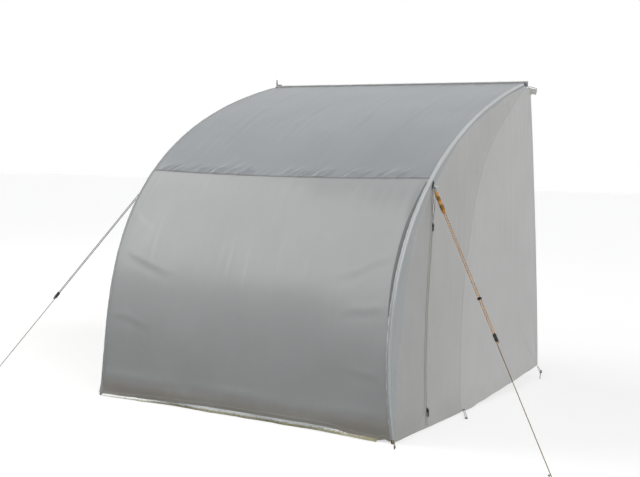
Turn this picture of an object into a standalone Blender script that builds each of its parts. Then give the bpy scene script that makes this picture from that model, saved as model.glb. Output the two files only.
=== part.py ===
"""Bicycle storage tent: a lean-to of coated cloth on two bent poles.

The tent hangs by a welt cord from the awning rail on a caravan's end wall. Two bent
glass-fibre poles in sleeves carry the cloth from the rail's corners forward and down to
the front ground corners. The right wall has a two-way zip and a door flap that folds
back along a line from the zip's head to the foot of the wall's curved seam. Two guy
ropes with runners hold the poles apart, and pegs with rubber loops hold the hems.

Metres, +Z up. The origin is on the ground under the middle of the rail. The wall is the
plane Y = 0, the tent reaches towards -Y, and the door is on the +X side.
"""
import math

import bmesh
import bpy
import numpy as np
from mathutils import Matrix, Vector

# Rail and overall sizes
RAIL_HEIGHT = 2.000
BAND_HALF_WIDTH = 0.985
BAND_HEIGHT = 0.035
BAND_THICKNESS = 0.002
WELT_RADIUS = 0.00375
TENT_DEPTH = 1.960

# Bent pole, as one cubic curve from the rail corner to the front foot (right-hand pole)
POLE_TOP_HALF_WIDTH = 0.965
POLE_TOP_SETBACK = 0.020
POLE_TOP_DROP = 0.015
POLE_FOOT_HALF_WIDTH = 0.970
ROOF_PULL_HALF_WIDTH = 0.980
ROOF_PULL_REACH = 0.055
ROOF_PULL_DROP = 0.440
FRONT_PULL_HALF_WIDTH = 0.860
FRONT_PULL_REACH = 0.025
FRONT_PULL_HEIGHT = 0.670
POLE_RADIUS = 0.0055
POLE_SECTIONS = 3
STATIONS_PER_SECTION = 10
FERRULE_RADIUS = 0.0072
FERRULE_BORE = 0.0063
FERRULE_LENGTH = 0.060
TIP_RADIUS = 0.0080
FOOT_RADIUS = 0.0095
CAP_BORE = 0.0064
CAP_GRIP = 0.024

# Sleeve: a tube round the pole with a flat band on the side wall. The band's width is
# given against the drop below the rail.
SLEEVE_BORE = 0.0086
SLEEVE_RADIUS = 0.0098
SLEEVE_START = 0.030
SLEEVE_END_GAP = 0.052
BAND_CLOTH = 0.0012
BAND_OVER_WALL = 0.0012
BAND_SLACK = 0.0005
SLEEVE_BAND = ((0.10, 0.0125), (0.16, 0.026), (0.34, 0.016), (0.60, 0.049), (0.69, 0.048),
               (0.85, 0.060), (1.10, 0.100), (1.40, 0.122), (1.70, 0.075), (1.95, 0.030))

# Cloth
CLOTH = 0.0016
SEAM_GAP = 0.0003
SEAM_DROP = 0.645
PANEL_EDGE = 0.0095
PANEL_RISE = 0.0050
FRONT_SAG = 0.022
WALL_EDGE = 0.0125
WALL_OUT = 0.0020
WALL_TOP_DROP = 0.045
WALL_HEM = 0.014
FRONT_HEM_LEFT = 0.018
FRONT_HEM_RIGHT = 0.030

# Rear edge of the side walls, which leans back with the caravan's wall
REAR_TOP_HALF_WIDTH = 1.003
REAR_TOP_SETBACK = 0.012
REAR_FOOT_HALF_WIDTH = 1.085
REAR_FOOT_OVERHANG = 0.130
REAR_HEM = 0.070

# Curved seam between the middle and rear wall panels, set back from the pole's foot
CURVE_TOP_REACH = 0.050
CURVE_HIGH_SETBACK = 1.067
CURVE_HIGH_DROP = 0.481
CURVE_LOW_SETBACK = 0.952
CURVE_LOW_DROP = 0.660
CURVE_FOOT_SETBACK = 0.843

# Door flap and zip. The zip bends a little at its knee, and is set back from the pole.
FLAP_SHARE = 0.67
KNEE_SHARE = 0.33
ZIP_HEAD_SETBACK = 0.0865
ZIP_KNEE_SETBACK = 0.400
ZIP_FOOT_SETBACK = 0.390
FLAP_HEAD_WIDTH = 0.034
FLAP_FOOT_LEAD = 0.012
FOLD_GAP = 0.0005
FLAP_TOP_GAP = 0.0012
SECTION_GAP = 0.0010
HINGE_LIFT = 0.0009
CHAIN_GAP = 0.0004
CHAIN_END = 0.0010
CHAIN_LAP = 0.0006
CHAIN_WIDTH = 0.0025
CHAIN_LOW = -0.0008
CHAIN_HIGH = 0.0028
TAPE_WIDTH = 0.0140
TAPE_THICKNESS = 0.0008
TAPE_LIFT = 0.0021
TAPE_LAP = 0.0008
CLOTH_TO_ZIP = 0.0035

# Zip sliders and pulls
SLIDER_TOP_FALL = 0.2095
SLIDER_BOTTOM_RISE = 0.0840
SLIDER_LENGTH = 0.024
SLIDER_HALF_WIDTH = 0.0075
SLIDER_NECK = 0.0050
SLIDER_PLATE = 0.0014
SLIDER_LIFT = 0.0032
LUG_RADIUS = 0.0026
LUG_THICKNESS = 0.0013
PIN_RADIUS = 0.0009
PIN_LIFT = 0.0040
PULL_BARREL = 0.0024
PULL_BORE = 0.0013
PULL_LENGTH = 0.034
PULL_THICKNESS = 0.0014
PULL_SIDE_GAP = 0.0004

# Mud flap under the front hem
MUD_HALF_WIDTH = 0.925
MUD_GROUND_GAP = 0.003
MUD_THICKNESS = 0.0012

# Guy ropes
GUY_DROP = 0.655
GUY_BACK = 0.031
GUY_PEG_OUT = {"right": 0.903, "left": 0.810}
GUY_PEG_FORWARD = {"right": 0.215, "left": 0.134}
ROPE_RADIUS = 0.0020
ROPE_CLEARANCE = 0.0007
RING_WIRE = 0.0020
RING_HALF_WIDTH = 0.0125
RING_REACH = 0.018
STRAP_THICKNESS = 0.0016
STRAP_OVER_BAND = 0.0010
STRAP_HALF_WIDTH = 0.0085
STRAP_PATCH = 0.022
STRAP_LENGTH = 0.024
RUNNER_AT = 0.930
RUNNER_LENGTH = 0.046
RUNNER_WIDTH = 0.0190
RUNNER_WAIST = 0.0165
RUNNER_THICKNESS = 0.0085
RUNNER_BORE = 0.0025
KNOT_RADIUS = 0.0045
ROPE_TAIL = 0.040

# Pegs and rubber loops
PEG_RADIUS = 0.0025
PEG_BURIED = 0.170
PEG_HOLD_HEIGHT = 0.012
PEG_HOOK = 0.0070
PEG_HOOK_DROP = 0.008
PEG_LEAN_RATIO = 0.40
GUY_PEG_TURN = 31.5
HEM_PEG_OUT = {"front": 0.050, "middle": 0.081, "rear": 0.035}
HEM_PEG_FORWARD = {"front": 0.090, "middle": 0.148, "rear": 0.038}
LEFT_FRONT_PEG_OUT = 0.070
LEFT_FRONT_PEG_BACK = 0.100
LEFT_FRONT_SEAT = -0.0030
HEM_PEG_PROUD = {"front": 0.012, "middle": 0.006, "rear": 0.012}
HEM_PEG_LEAN_RATIO = {"front": 0.35, "middle": 0.50, "rear": 0.15}
LOOP_RADIUS = 0.0015
LOOP_CLEARANCE = 0.0004
LOOP_SEATS = {"front": -0.0012, "middle": 0.0006, "rear": -0.0010}

# Corner fittings at the rail
TAB_LENGTH = 0.087
TAB_HEIGHT = 0.030
TAB_INSET = 0.020
TAB_THICKNESS = 0.0016
TAB_TILT = 14.0
CORD_RADIUS = 0.0017
CORD_LENGTH = 0.062
CORD_HALF_HEIGHT = 0.005
HOOK_LENGTH = 0.042
HOOK_THICKNESS = 0.0030
HOOK_AT = 0.048
STOP_LENGTH = 0.048
STOP_HEIGHT = 0.042

RIGHT, LEFT = 1, -1
SIDE_NAMES = {RIGHT: "right", LEFT: "left"}
GREY_UPPER = (0.375, 0.400, 0.420)
GREY_FRONT = (0.365, 0.372, 0.375)
GREY_WALL = (0.430, 0.430, 0.425)
GREY_SLEEVE = (0.560, 0.565, 0.560)
BLACK = (0.018, 0.018, 0.018)
PALE = (0.780, 0.760, 0.700)
ORANGE = (0.620, 0.330, 0.110)
STEEL = (0.250, 0.250, 0.255)
FIBRE = (0.060, 0.062, 0.065)
RUBBER = (0.560, 0.480, 0.360)


# Scene and materials
def clear_scene():
    for obj in list(bpy.data.objects):
        bpy.data.objects.remove(obj, do_unlink=True)


def new_collection(name):
    collection = bpy.data.collections.new(name)
    bpy.context.scene.collection.children.link(collection)
    return collection


def material(name, colour, roughness, metallic=0.0):
    mat = bpy.data.materials.new(name)
    mat.use_nodes = True
    shader = mat.node_tree.nodes["Principled BSDF"]
    shader.inputs["Base Color"].default_value = (*colour, 1.0)
    shader.inputs["Roughness"].default_value = roughness
    shader.inputs["Metallic"].default_value = metallic
    return mat


def add_object(name, data, look, matrix=None):
    obj = bpy.data.objects.new(name, data)
    PARTS.objects.link(obj)
    colour, roughness, metallic = look
    data.materials.clear()
    data.materials.append(material(name, colour, roughness, metallic))
    if matrix is not None:
        obj.matrix_world = matrix
    return obj


def add_cutter(obj):
    for collection in list(obj.users_collection):
        collection.objects.unlink(obj)
    CUTTERS.objects.link(obj)
    obj.hide_render = True
    obj.display_type = "WIRE"


def boolean(obj, other, operation):
    modifier = obj.modifiers.new(operation.title(), "BOOLEAN")
    modifier.operation = operation
    modifier.object = other
    modifier.solver = "EXACT"
    add_cutter(other)


# Small vector helpers
def unit(vector):
    vector = np.asarray(vector, float)
    return vector / np.linalg.norm(vector)


def mirrored(point, side):
    return np.asarray(point, float) * np.array([side, 1.0, 1.0])


def frame_matrix(x_axis, y_axis, z_axis, origin):
    matrix = Matrix.Identity(4)
    for column, axis in enumerate((x_axis, y_axis, z_axis, origin)):
        for row in range(3):
            matrix[row][column] = float(axis[row])
    return matrix


def bezier(controls, t):
    a, b, c, d = (np.asarray(p, float) for p in controls)
    return (1 - t) ** 3 * a + 3 * (1 - t) ** 2 * t * b + 3 * (1 - t) * t ** 2 * c + t ** 3 * d


def bezier_slope(controls, t):
    a, b, c, d = (np.asarray(p, float) for p in controls)
    return 3 * (1 - t) ** 2 * (b - a) + 6 * (1 - t) * t * (c - b) + 3 * t ** 2 * (d - c)


def smooth_lookup(pairs, drop):
    """The value at a drop below the rail, from pairs of drop and value."""
    for (high, above), (low, below) in zip(pairs, pairs[1:]):
        if drop <= low:
            share = min(1.0, max(0.0, (drop - high) / (low - high)))
            return above + (below - above) * share * share * (3 - 2 * share)
    return pairs[-1][1]


# The pole's line, for the right-hand pole; the left one is its mirror image
POLE_CONTROLS = ((POLE_TOP_HALF_WIDTH, -POLE_TOP_SETBACK, RAIL_HEIGHT - POLE_TOP_DROP),
                 (ROOF_PULL_HALF_WIDTH, -TENT_DEPTH - ROOF_PULL_REACH, RAIL_HEIGHT - ROOF_PULL_DROP),
                 (FRONT_PULL_HALF_WIDTH, -TENT_DEPTH - FRONT_PULL_REACH, FRONT_PULL_HEIGHT),
                 (POLE_FOOT_HALF_WIDTH, -TENT_DEPTH, 0.0))
POLE_FINE_T = np.linspace(0.0, 1.0, 801)
POLE_FINE = np.array([bezier(POLE_CONTROLS, t) for t in POLE_FINE_T])
POLE_RUN = np.concatenate([[0.0], np.cumsum(np.linalg.norm(np.diff(POLE_FINE, axis=0), axis=1))])
POLE_LENGTH = float(POLE_RUN[-1])
POLE_STATIONS = POLE_SECTIONS * STATIONS_PER_SECTION


def pole_t(run):
    return float(np.interp(run, POLE_RUN, POLE_FINE_T))


def pole_t_at_height(height):
    return float(np.interp(-height, -POLE_FINE[:, 2], POLE_FINE_T))


def pole_frame(t, side=RIGHT):
    """Point, direction towards the foot, outward over the roof, and outward at the side."""
    point = bezier(POLE_CONTROLS, t)
    along = unit(bezier_slope(POLE_CONTROLS, t))
    out = np.array([1.0, 0.0, 0.0])
    out = unit(out - along * (out @ along))
    over = np.cross(along, out)
    return tuple(mirrored(v, side) for v in (point, along, over, out))


def pole_station(index, side=RIGHT):
    return pole_frame(pole_t(POLE_LENGTH * index / POLE_STATIONS), side)


# Lines on the right-hand wall
def rear_edge(height):
    share = (RAIL_HEIGHT - height) / (RAIL_HEIGHT - REAR_HEM)
    x = REAR_TOP_HALF_WIDTH + share * (REAR_FOOT_HALF_WIDTH - REAR_TOP_HALF_WIDTH)
    y = -REAR_TOP_SETBACK + share * (REAR_FOOT_OVERHANG + REAR_TOP_SETBACK)
    return np.array([x, y, height])


def wall_point(y, height, lift=0.0):
    """A point of the wall's middle surface, which runs straight from pole to rear edge."""
    front = bezier(POLE_CONTROLS, pole_t_at_height(height))
    rear = rear_edge(height)
    share = (y - front[1]) / (rear[1] - front[1])
    return np.array([front[0] + WALL_OUT + lift + share * (rear[0] - front[0] - WALL_OUT), y, height])


def level_height(level):
    return WALL_HEM + level * (RAIL_HEIGHT - WALL_TOP_DROP - WALL_HEM)


def pole_edge(level):
    point, _, over, _ = pole_frame(pole_t_at_height(level_height(level)))
    inward = point - over * WALL_EDGE
    return np.array([point[0] + WALL_OUT, inward[1], inward[2]])


def behind_pole(setback, level):
    height = level_height(level)
    front = bezier(POLE_CONTROLS, pole_t_at_height(height))
    return wall_point(front[1] + setback, height)


def between_levels(first, last, first_level, last_level, level):
    return first + (last - first) * (level - first_level) / (last_level - first_level)


def seam_foot():
    return wall_point(-TENT_DEPTH + CURVE_FOOT_SETBACK, WALL_HEM)


def zip_line(level):
    knee = behind_pole(ZIP_KNEE_SETBACK, KNEE_SHARE)
    if level <= KNEE_SHARE:
        return between_levels(behind_pole(ZIP_FOOT_SETBACK, 0.0), knee, 0.0, KNEE_SHARE, level)
    head = behind_pole(ZIP_HEAD_SETBACK, FLAP_SHARE)
    return between_levels(knee, head, KNEE_SHARE, FLAP_SHARE, level)


def fold_line(level):
    foot = wall_point(seam_foot()[1] - FLAP_FOOT_LEAD, WALL_HEM)
    head = behind_pole(ZIP_HEAD_SETBACK + FLAP_HEAD_WIDTH, FLAP_SHARE)
    return between_levels(foot, head, 0.0, FLAP_SHARE, level)


def curved_seam(level):
    controls = ((-CURVE_TOP_REACH, level_height(1.0)),
                (-TENT_DEPTH + CURVE_HIGH_SETBACK, RAIL_HEIGHT - CURVE_HIGH_DROP),
                (-TENT_DEPTH + CURVE_LOW_SETBACK, RAIL_HEIGHT - CURVE_LOW_DROP),
                (-TENT_DEPTH + CURVE_FOOT_SETBACK, WALL_HEM))
    curve = np.array([bezier(controls, t) for t in np.linspace(0.0, 1.0, 101)])
    height = level_height(level)
    return wall_point(float(np.interp(-height, -curve[:, 1], curve[:, 0])), height)


def rear_line(level):
    return rear_edge(REAR_HEM + level * (level_height(1.0) - REAR_HEM))


def wall_surface(y, height, side, lift=0.0):
    """A point over the front cloth of a wall, as its rows of panels lie, right-hand side up."""
    height = min(height, level_height(1.0))
    above = [i for i, v in enumerate(ROW_SHARES) if level_height(v) >= height]
    upper = max(1, above[0] if above else len(ROW_SHARES) - 1)
    low, high = ROW_SHARES[upper - 1], ROW_SHARES[upper]
    with_zip = side == RIGHT and high <= FLAP_SHARE
    share = (height - level_height(low)) / (level_height(high) - level_height(low))

    def along(level):
        front = pole_edge(level)
        rear = zip_line(level) if with_zip else curved_seam(level)
        if y > rear[1] and not with_zip:
            front, rear = rear, rear_line(level)
        return front, rear

    (a, b), (c, d) = along(low), along(high)
    front, rear = a + (c - a) * share, b + (d - b) * share
    x = front[0] + (rear[0] - front[0]) * (y - front[1]) / (rear[1] - front[1])
    return np.array([x + lift, y, height])


def local_frame(origin, end, toward):
    """Axes at a straight edge in the wall: up along it, across it to the rear, and outward."""
    up = unit(end - origin)
    across = unit(toward - up * (toward @ up))
    return origin, up, across, np.cross(across, up)


def zip_frame(first, last):
    """Axes of a straight half of the zip, midway between the cloth on its two sides."""
    middle = (first + last) / 2
    here = zip_line(middle)
    toward = unit(fold_line(middle) - here) + unit(here - pole_edge(middle))
    return local_frame(zip_line(first), zip_line(last), toward)


# Axes of the zip's two halves and of the door's fold
ROW_SHARES = (0.0, 0.035, 0.085, 0.16, 0.24, KNEE_SHARE, 0.42, 0.50, 0.585, FLAP_SHARE,
              0.75, 0.83, 0.90, 0.955, 1.0)
ZIP_LOW = zip_frame(0.0, KNEE_SHARE)
ZIP_HIGH = zip_frame(KNEE_SHARE, FLAP_SHARE)
FOLD_MIDDLE = (unit(fold_line(FLAP_SHARE / 2) - zip_line(FLAP_SHARE / 2))
               + unit(curved_seam(FLAP_SHARE / 2) - fold_line(FLAP_SHARE / 2)))
FOLD_FOOT, FOLD_UP, FOLD_ACROSS, FOLD_OUT = local_frame(fold_line(0.0), fold_line(FLAP_SHARE),
                                                        FOLD_MIDDLE)
FOLD_POINT = FOLD_FOOT + FOLD_OUT * HINGE_LIFT


def zip_axes(level):
    """Up, across and outward at a level of the zip; the knee takes the mean of its halves."""
    if abs(level - KNEE_SHARE) < 0.001:
        return [unit(a + b) for a, b in zip(ZIP_LOW[1:], ZIP_HIGH[1:])]
    return (ZIP_LOW if level < KNEE_SHARE else ZIP_HIGH)[1:]


# Mesh builders
def mesh_object(name, bm, look, smooth=True, angle=40.0):
    bmesh.ops.recalc_face_normals(bm, faces=bm.faces)
    mesh = bpy.data.meshes.new(name)
    bm.to_mesh(mesh)
    bm.free()
    if smooth:
        mesh.shade_smooth()
        mesh.set_sharp_from_angle(angle=math.radians(angle))
    return add_object(name, mesh, look)


def add_grid(bm, grid):
    rows = [[bm.verts.new(Vector(p)) for p in row] for row in grid]
    for lower, upper in zip(rows, rows[1:]):
        for column in range(len(lower) - 1):
            bm.faces.new((lower[column], lower[column + 1], upper[column + 1], upper[column]))


def sheet(name, grids, thickness, look, side=RIGHT):
    """Cloth: one or more grids of points that meet edge to edge, thickened evenly."""
    bm = bmesh.new()
    for grid in grids:
        add_grid(bm, [[mirrored(p, side) for p in row] for row in grid])
    bmesh.ops.remove_doubles(bm, verts=bm.verts, dist=0.00002)
    obj = mesh_object(name, bm, look)
    modifier = obj.modifiers.new("Thickness", "SOLIDIFY")
    modifier.thickness = thickness
    modifier.offset = 0.0
    modifier.use_even_offset = True
    return obj


def ruled(front, rear, levels, columns):
    """Rows of points on straight lines between two edge curves."""
    rows = []
    for level in levels:
        a, b = front(level), rear(level)
        rows.append([a + (b - a) * c / columns for c in range(columns + 1)])
    return rows


def shifted(curve, offset):
    return lambda level: curve(level) + offset


def hollow_loft(name, outer, inner, look, sharp=40.0):
    """A tube between two sets of rings, open at both ends."""
    bm = bmesh.new()
    shells = []
    for rings in (outer, inner):
        shells.append([[bm.verts.new(Vector(p)) for p in ring] for ring in rings])
    count = len(outer[0])
    for shell in shells:
        for first, second in zip(shell, shell[1:]):
            for i in range(count):
                j = (i + 1) % count
                bm.faces.new((first[i], first[j], second[j], second[i]))
    for end in (0, -1):
        for i in range(count):
            j = (i + 1) % count
            bm.faces.new((shells[0][end][i], shells[0][end][j], shells[1][end][j], shells[1][end][i]))
    return mesh_object(name, bm, look, angle=sharp)


def ring_points(centre, across, up, radius, count):
    angles = [2 * math.pi * i / count for i in range(count)]
    return [centre + across * radius * math.cos(a) + up * radius * math.sin(a) for a in angles]


def tube(name, points, radius, look, cyclic=False, resolution=2):
    curve = bpy.data.curves.new(name, "CURVE")
    curve.dimensions = "3D"
    curve.bevel_depth = radius
    curve.bevel_resolution = resolution
    curve.use_fill_caps = not cyclic
    curve.resolution_u = 1
    curve.render_resolution_u = 0
    spline = curve.splines.new("POLY")
    spline.points.add(len(points) - 1)
    for item, point in zip(spline.points, points):
        item.co = (*[float(v) for v in point], 1.0)
    spline.use_cyclic_u = cyclic
    spline.use_smooth = True
    return add_object(name, curve, look)


def outline(name, loops, half_thickness, matrix, look):
    """A flat plate with any holes, from closed loops of 2D points."""
    curve = bpy.data.curves.new(name, "CURVE")
    curve.dimensions = "2D"
    curve.fill_mode = "BOTH"
    curve.extrude = half_thickness
    curve.render_resolution_u = 0
    for loop in loops:
        spline = curve.splines.new("POLY")
        spline.points.add(len(loop) - 1)
        for item, point in zip(spline.points, loop):
            item.co = (float(point[0]), float(point[1]), 0.0, 1.0)
        spline.use_cyclic_u = True
    return add_object(name, curve, look, matrix)


def as_mesh(obj):
    """Turn a curve object into a mesh object with welded caps, in the same place."""
    graph = bpy.context.evaluated_depsgraph_get()
    mesh = bpy.data.meshes.new_from_object(obj.evaluated_get(graph))
    bm = bmesh.new()
    bm.from_mesh(mesh)
    bmesh.ops.remove_doubles(bm, verts=bm.verts, dist=0.000001)
    bmesh.ops.recalc_face_normals(bm, faces=bm.faces)
    bm.to_mesh(mesh)
    bm.free()
    name, matrix, look_material = obj.name, obj.matrix_world.copy(), obj.data.materials[0]
    bpy.data.objects.remove(obj, do_unlink=True)
    solid = bpy.data.objects.new(name, mesh)
    PARTS.objects.link(solid)
    mesh.materials.clear()
    mesh.materials.append(look_material)
    solid.matrix_world = matrix
    return solid


def cylinder(name, start, end, radius, look, sides=16):
    """A round bar between two points, with its own local Z along it."""
    start, end = np.asarray(start, float), np.asarray(end, float)
    axis = unit(end - start)
    side = unit(np.cross(axis, [0.3, 0.9, 0.2]))
    bm = bmesh.new()
    bmesh.ops.create_cone(bm, cap_ends=True, segments=sides, radius1=radius, radius2=radius,
                          depth=float(np.linalg.norm(end - start)))
    obj = mesh_object(name, bm, look)
    obj.matrix_world = frame_matrix(side, np.cross(axis, side), axis, (start + end) / 2)
    return obj


def box(name, size, look, matrix):
    bm = bmesh.new()
    bmesh.ops.create_cube(bm, size=1.0, matrix=Matrix.Diagonal((*size, 1.0)))
    obj = mesh_object(name, bm, look, smooth=False)
    obj.matrix_world = matrix
    return obj


def turned(name, profile, look, matrix, steps=14):
    """A closed profile of radius and height pairs, turned about the local Z axis."""
    bm = bmesh.new()
    verts = [bm.verts.new((radius, 0.0, height)) for radius, height in profile]
    for a, b in zip(verts, verts[1:] + verts[:1]):
        bm.edges.new((a, b))
    mesh = bpy.data.meshes.new(name)
    bm.to_mesh(mesh)
    bm.free()
    obj = add_object(name, mesh, look, matrix)
    modifier = obj.modifiers.new("Turn", "SCREW")
    modifier.axis = "Z"
    modifier.steps = steps
    modifier.render_steps = steps
    modifier.use_merge_vertices = True
    modifier.merge_threshold = 0.00001
    modifier.use_smooth_shade = False
    return obj


def arc(centre, radius, start, end, count):
    """Points of an arc in the plane, angles in degrees."""
    angles = np.radians(np.linspace(start, end, count))
    return [(centre[0] + radius * math.cos(a), centre[1] + radius * math.sin(a)) for a in angles]


def stadium(length, width, count=7):
    """A slot shape along local X, centred."""
    half, radius = length / 2 - width / 2, width / 2
    return arc((half, 0), radius, -90, 90, count) + arc((-half, 0), radius, 90, 270, count)


# Looks, as colour, roughness and metallic value
UPPER_CLOTH = (GREY_UPPER, 0.55, 0.0)
FRONT_CLOTH = (GREY_FRONT, 0.60, 0.0)
WALL_CLOTH = (GREY_WALL, 0.60, 0.0)
SLEEVE_CLOTH = (GREY_SLEEVE, 0.65, 0.0)
BLACK_WEB = (BLACK, 0.80, 0.0)
BLACK_PLASTIC = (BLACK, 0.40, 0.0)
PALE_CLOTH = (PALE, 0.65, 0.0)
ROPE_LOOK = (ORANGE, 0.80, 0.0)
WIRE = (STEEL, 0.35, 1.0)
DARK_STEEL = (BLACK, 0.45, 0.6)
FIBREGLASS = (FIBRE, 0.35, 0.0)
LOOP_LOOK = (RUBBER, 0.70, 0.0)


# Roof and front
def front_point(run, across):
    """A point of the roof and front cloth; across runs from -1 at the left to 1."""
    t = pole_t(run)
    point, _, over, _ = pole_frame(t)
    share = run / POLE_LENGTH
    sag = FRONT_SAG * 4 * share * (1 - share) * (1 - across * across)
    centre = point + over * (PANEL_RISE - sag)
    return np.array([across * (point[0] - PANEL_EDGE), centre[1], centre[2]])


def seam_run():
    return float(np.interp(pole_t_at_height(RAIL_HEIGHT - SEAM_DROP), POLE_FINE_T, POLE_RUN))


def front_hem_height(across):
    return FRONT_HEM_LEFT + (FRONT_HEM_RIGHT - FRONT_HEM_LEFT) * (across + 1) / 2


def make_roof_and_front():
    columns = [2 * c / 8 - 1 for c in range(9)]
    joint = seam_run()
    rail_row = []
    for across in columns:
        first = front_point(0.0, across)
        rail_row.append(np.array([first[0], -BAND_THICKNESS - 0.0009, first[2] + 0.0035]))
    stations = [POLE_LENGTH * k / POLE_STATIONS for k in range(POLE_STATIONS + 1)]
    roof_runs = [r for r in stations if r < joint - 0.02] + [joint - SEAM_GAP]
    roof = [rail_row] + [[front_point(r, a) for a in columns] for r in roof_runs]
    sheet("roof_panel", [roof], CLOTH, UPPER_CLOTH)
    front = []
    for run in [joint + SEAM_GAP] + [r for r in stations if r > joint + 0.02]:
        row = []
        for across in columns:
            end = POLE_LENGTH - front_hem_height(across)
            row.append(front_point(end if run == stations[-1] else run, across))
        front.append(row)
    sheet("front_panel", [front], CLOTH, FRONT_CLOTH)


def hem_axis():
    """The front hem's two ends, where the mud flap hangs."""
    ends = []
    for across in (-1.0, 1.0):
        edge = front_point(POLE_LENGTH - front_hem_height(across), across)
        ends.append(np.array([across * MUD_HALF_WIDTH, edge[1] - CLOTH / 2, edge[2] - 0.0012]))
    return ends


def make_mud_flap():
    left, right = hem_axis()
    low = [np.array([p[0], p[1], MUD_GROUND_GAP]) for p in (left, right)]
    rows = []
    for share in (0.0, 0.5, 1.0):
        row = []
        for c in range(13):
            top = left + (right - left) * c / 12
            bottom = low[0] + (low[1] - low[0]) * c / 12
            row.append(top + (bottom - top) * share + np.array([0.0, MUD_THICKNESS / 2, 0.0]))
        rows.append(row)
    sheet("mud_flap", [rows], MUD_THICKNESS, PALE_CLOTH)


# Side walls
def make_right_wall():
    low = [v for v in ROW_SHARES if v <= FLAP_SHARE]
    high = [v for v in ROW_SHARES if v >= FLAP_SHARE]
    drop = ZIP_HIGH[1] * FLAP_TOP_GAP

    def zip_front(level):
        return zip_line(level) - zip_axes(level)[1] * CLOTH_TO_ZIP - drop

    def zip_rear(level):
        return zip_line(level) + zip_axes(level)[1] * CLOTH_TO_ZIP - drop

    sheet("right_gore_panel", [ruled(shifted(pole_edge, -drop), zip_front, low, 3)], CLOTH,
          WALL_CLOTH)
    flap_rear = shifted(fold_line, -FOLD_ACROSS * FOLD_GAP - drop)
    sheet("door_flap", [ruled(zip_rear, flap_rear, low, 4)], CLOTH, WALL_CLOTH)
    seam_front = shifted(curved_seam, np.array([0.0, -SEAM_GAP, 0.0]))
    seam_rear = shifted(curved_seam, np.array([0.0, SEAM_GAP, 0.0]))
    fold_rear = shifted(fold_line, FOLD_ACROSS * FOLD_GAP)
    corner = fold_rear(FLAP_SHARE)
    start, stop = pole_edge(FLAP_SHARE), seam_front(FLAP_SHARE)
    share = (corner[1] - start[1]) / (stop[1] - start[1])

    def split(level):
        if level == FLAP_SHARE:
            return corner
        a, b = pole_edge(level), seam_front(level)
        return a + (b - a) * share

    over_flap = ruled(pole_edge, split, high, 2)
    over_flap[0][1] = zip_line(FLAP_SHARE)
    middle = [ruled(fold_rear, seam_front, low, 5), ruled(split, seam_front, high, 5), over_flap]
    sheet("right_mid_panel", middle, CLOTH, WALL_CLOTH)
    sheet("right_rear_panel", [ruled(seam_rear, rear_line, ROW_SHARES, 6)], CLOTH, WALL_CLOTH)


def make_left_wall():
    seam_front = shifted(curved_seam, np.array([0.0, -SEAM_GAP, 0.0]))
    seam_rear = shifted(curved_seam, np.array([0.0, SEAM_GAP, 0.0]))
    sheet("left_front_panel", [ruled(pole_edge, seam_front, ROW_SHARES, 7)], CLOTH, WALL_CLOTH, LEFT)
    sheet("left_rear_panel", [ruled(seam_rear, rear_line, ROW_SHARES, 6)], CLOTH, WALL_CLOTH, LEFT)


# Poles and their sleeves
def make_poles(side):
    label = SIDE_NAMES[side]
    nodes = [pole_station(k, side)[0] for k in range(POLE_STATIONS + 1)]
    nodes[0] = pole_frame(pole_t(0.004), side)[0]
    nodes[-1] = pole_frame(pole_t(POLE_LENGTH - 0.014), side)[0]
    trim = SECTION_GAP / 2
    for section in range(POLE_SECTIONS):
        first = section * STATIONS_PER_SECTION
        points = [p.copy() for p in nodes[first:first + STATIONS_PER_SECTION + 1]]
        if section > 0:
            points[0] = points[0] + unit(points[1] - points[0]) * trim
        if section < POLE_SECTIONS - 1:
            points[-1] = points[-1] + unit(points[-2] - points[-1]) * trim
        tube(f"pole_{label}_{section + 1}", points, POLE_RADIUS, FIBREGLASS)
    for joint in range(1, POLE_SECTIONS):
        k = joint * STATIONS_PER_SECTION
        _, _, over, out = pole_station(k, side)
        before = nodes[k] + unit(nodes[k - 1] - nodes[k]) * FERRULE_LENGTH / 2
        after = nodes[k] + unit(nodes[k + 1] - nodes[k]) * FERRULE_LENGTH / 2
        outer = [ring_points(c, out, over, FERRULE_RADIUS, 12) for c in (before, nodes[k], after)]
        inner = [ring_points(c, out, over, FERRULE_BORE, 12) for c in (before, nodes[k], after)]
        hollow_loft(f"ferrule_{label}_{joint}", outer, inner, WIRE)


def sleeve_section(run, side):
    """Outer and inner loops of the sleeve where the pole has run so far."""
    t = pole_t(run)
    point, _, over, out = pole_frame(t, side)
    width = smooth_lookup(SLEEVE_BAND, RAIL_HEIGHT - point[2])
    base = WALL_OUT + CLOTH / 2 + BAND_OVER_WALL + BAND_SLACK
    inward = -over
    low, high = math.asin(base / SLEEVE_RADIUS), math.asin((base + BAND_CLOTH) / SLEEVE_RADIUS)
    outer = []
    for i in range(11):
        angle = high + (2 * math.pi - high + low) * i / 10
        outer.append(point + inward * SLEEVE_RADIUS * math.cos(angle)
                     + out * SLEEVE_RADIUS * math.sin(angle))
    edge = point + inward * width
    share = mirrored(edge, side)
    surface = wall_surface(share[1], share[2], side, CLOTH / 2 + BAND_OVER_WALL + BAND_SLACK / 2)
    inner_tip = mirrored(surface, side)
    outer_tip = mirrored(surface + np.array([BAND_CLOTH, 0.0, 0.0]), side)
    outer = outer + [inner_tip, outer_tip]
    inner = []
    turns = [high + (2 * math.pi - high + low) * i / 10 for i in range(11)]
    turns += [low + (high - low) * k / 3 for k in (1, 2)]
    for turn in turns:
        inner.append(point + inward * SLEEVE_BORE * math.cos(turn) + out * SLEEVE_BORE * math.sin(turn))
    return outer, inner


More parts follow.
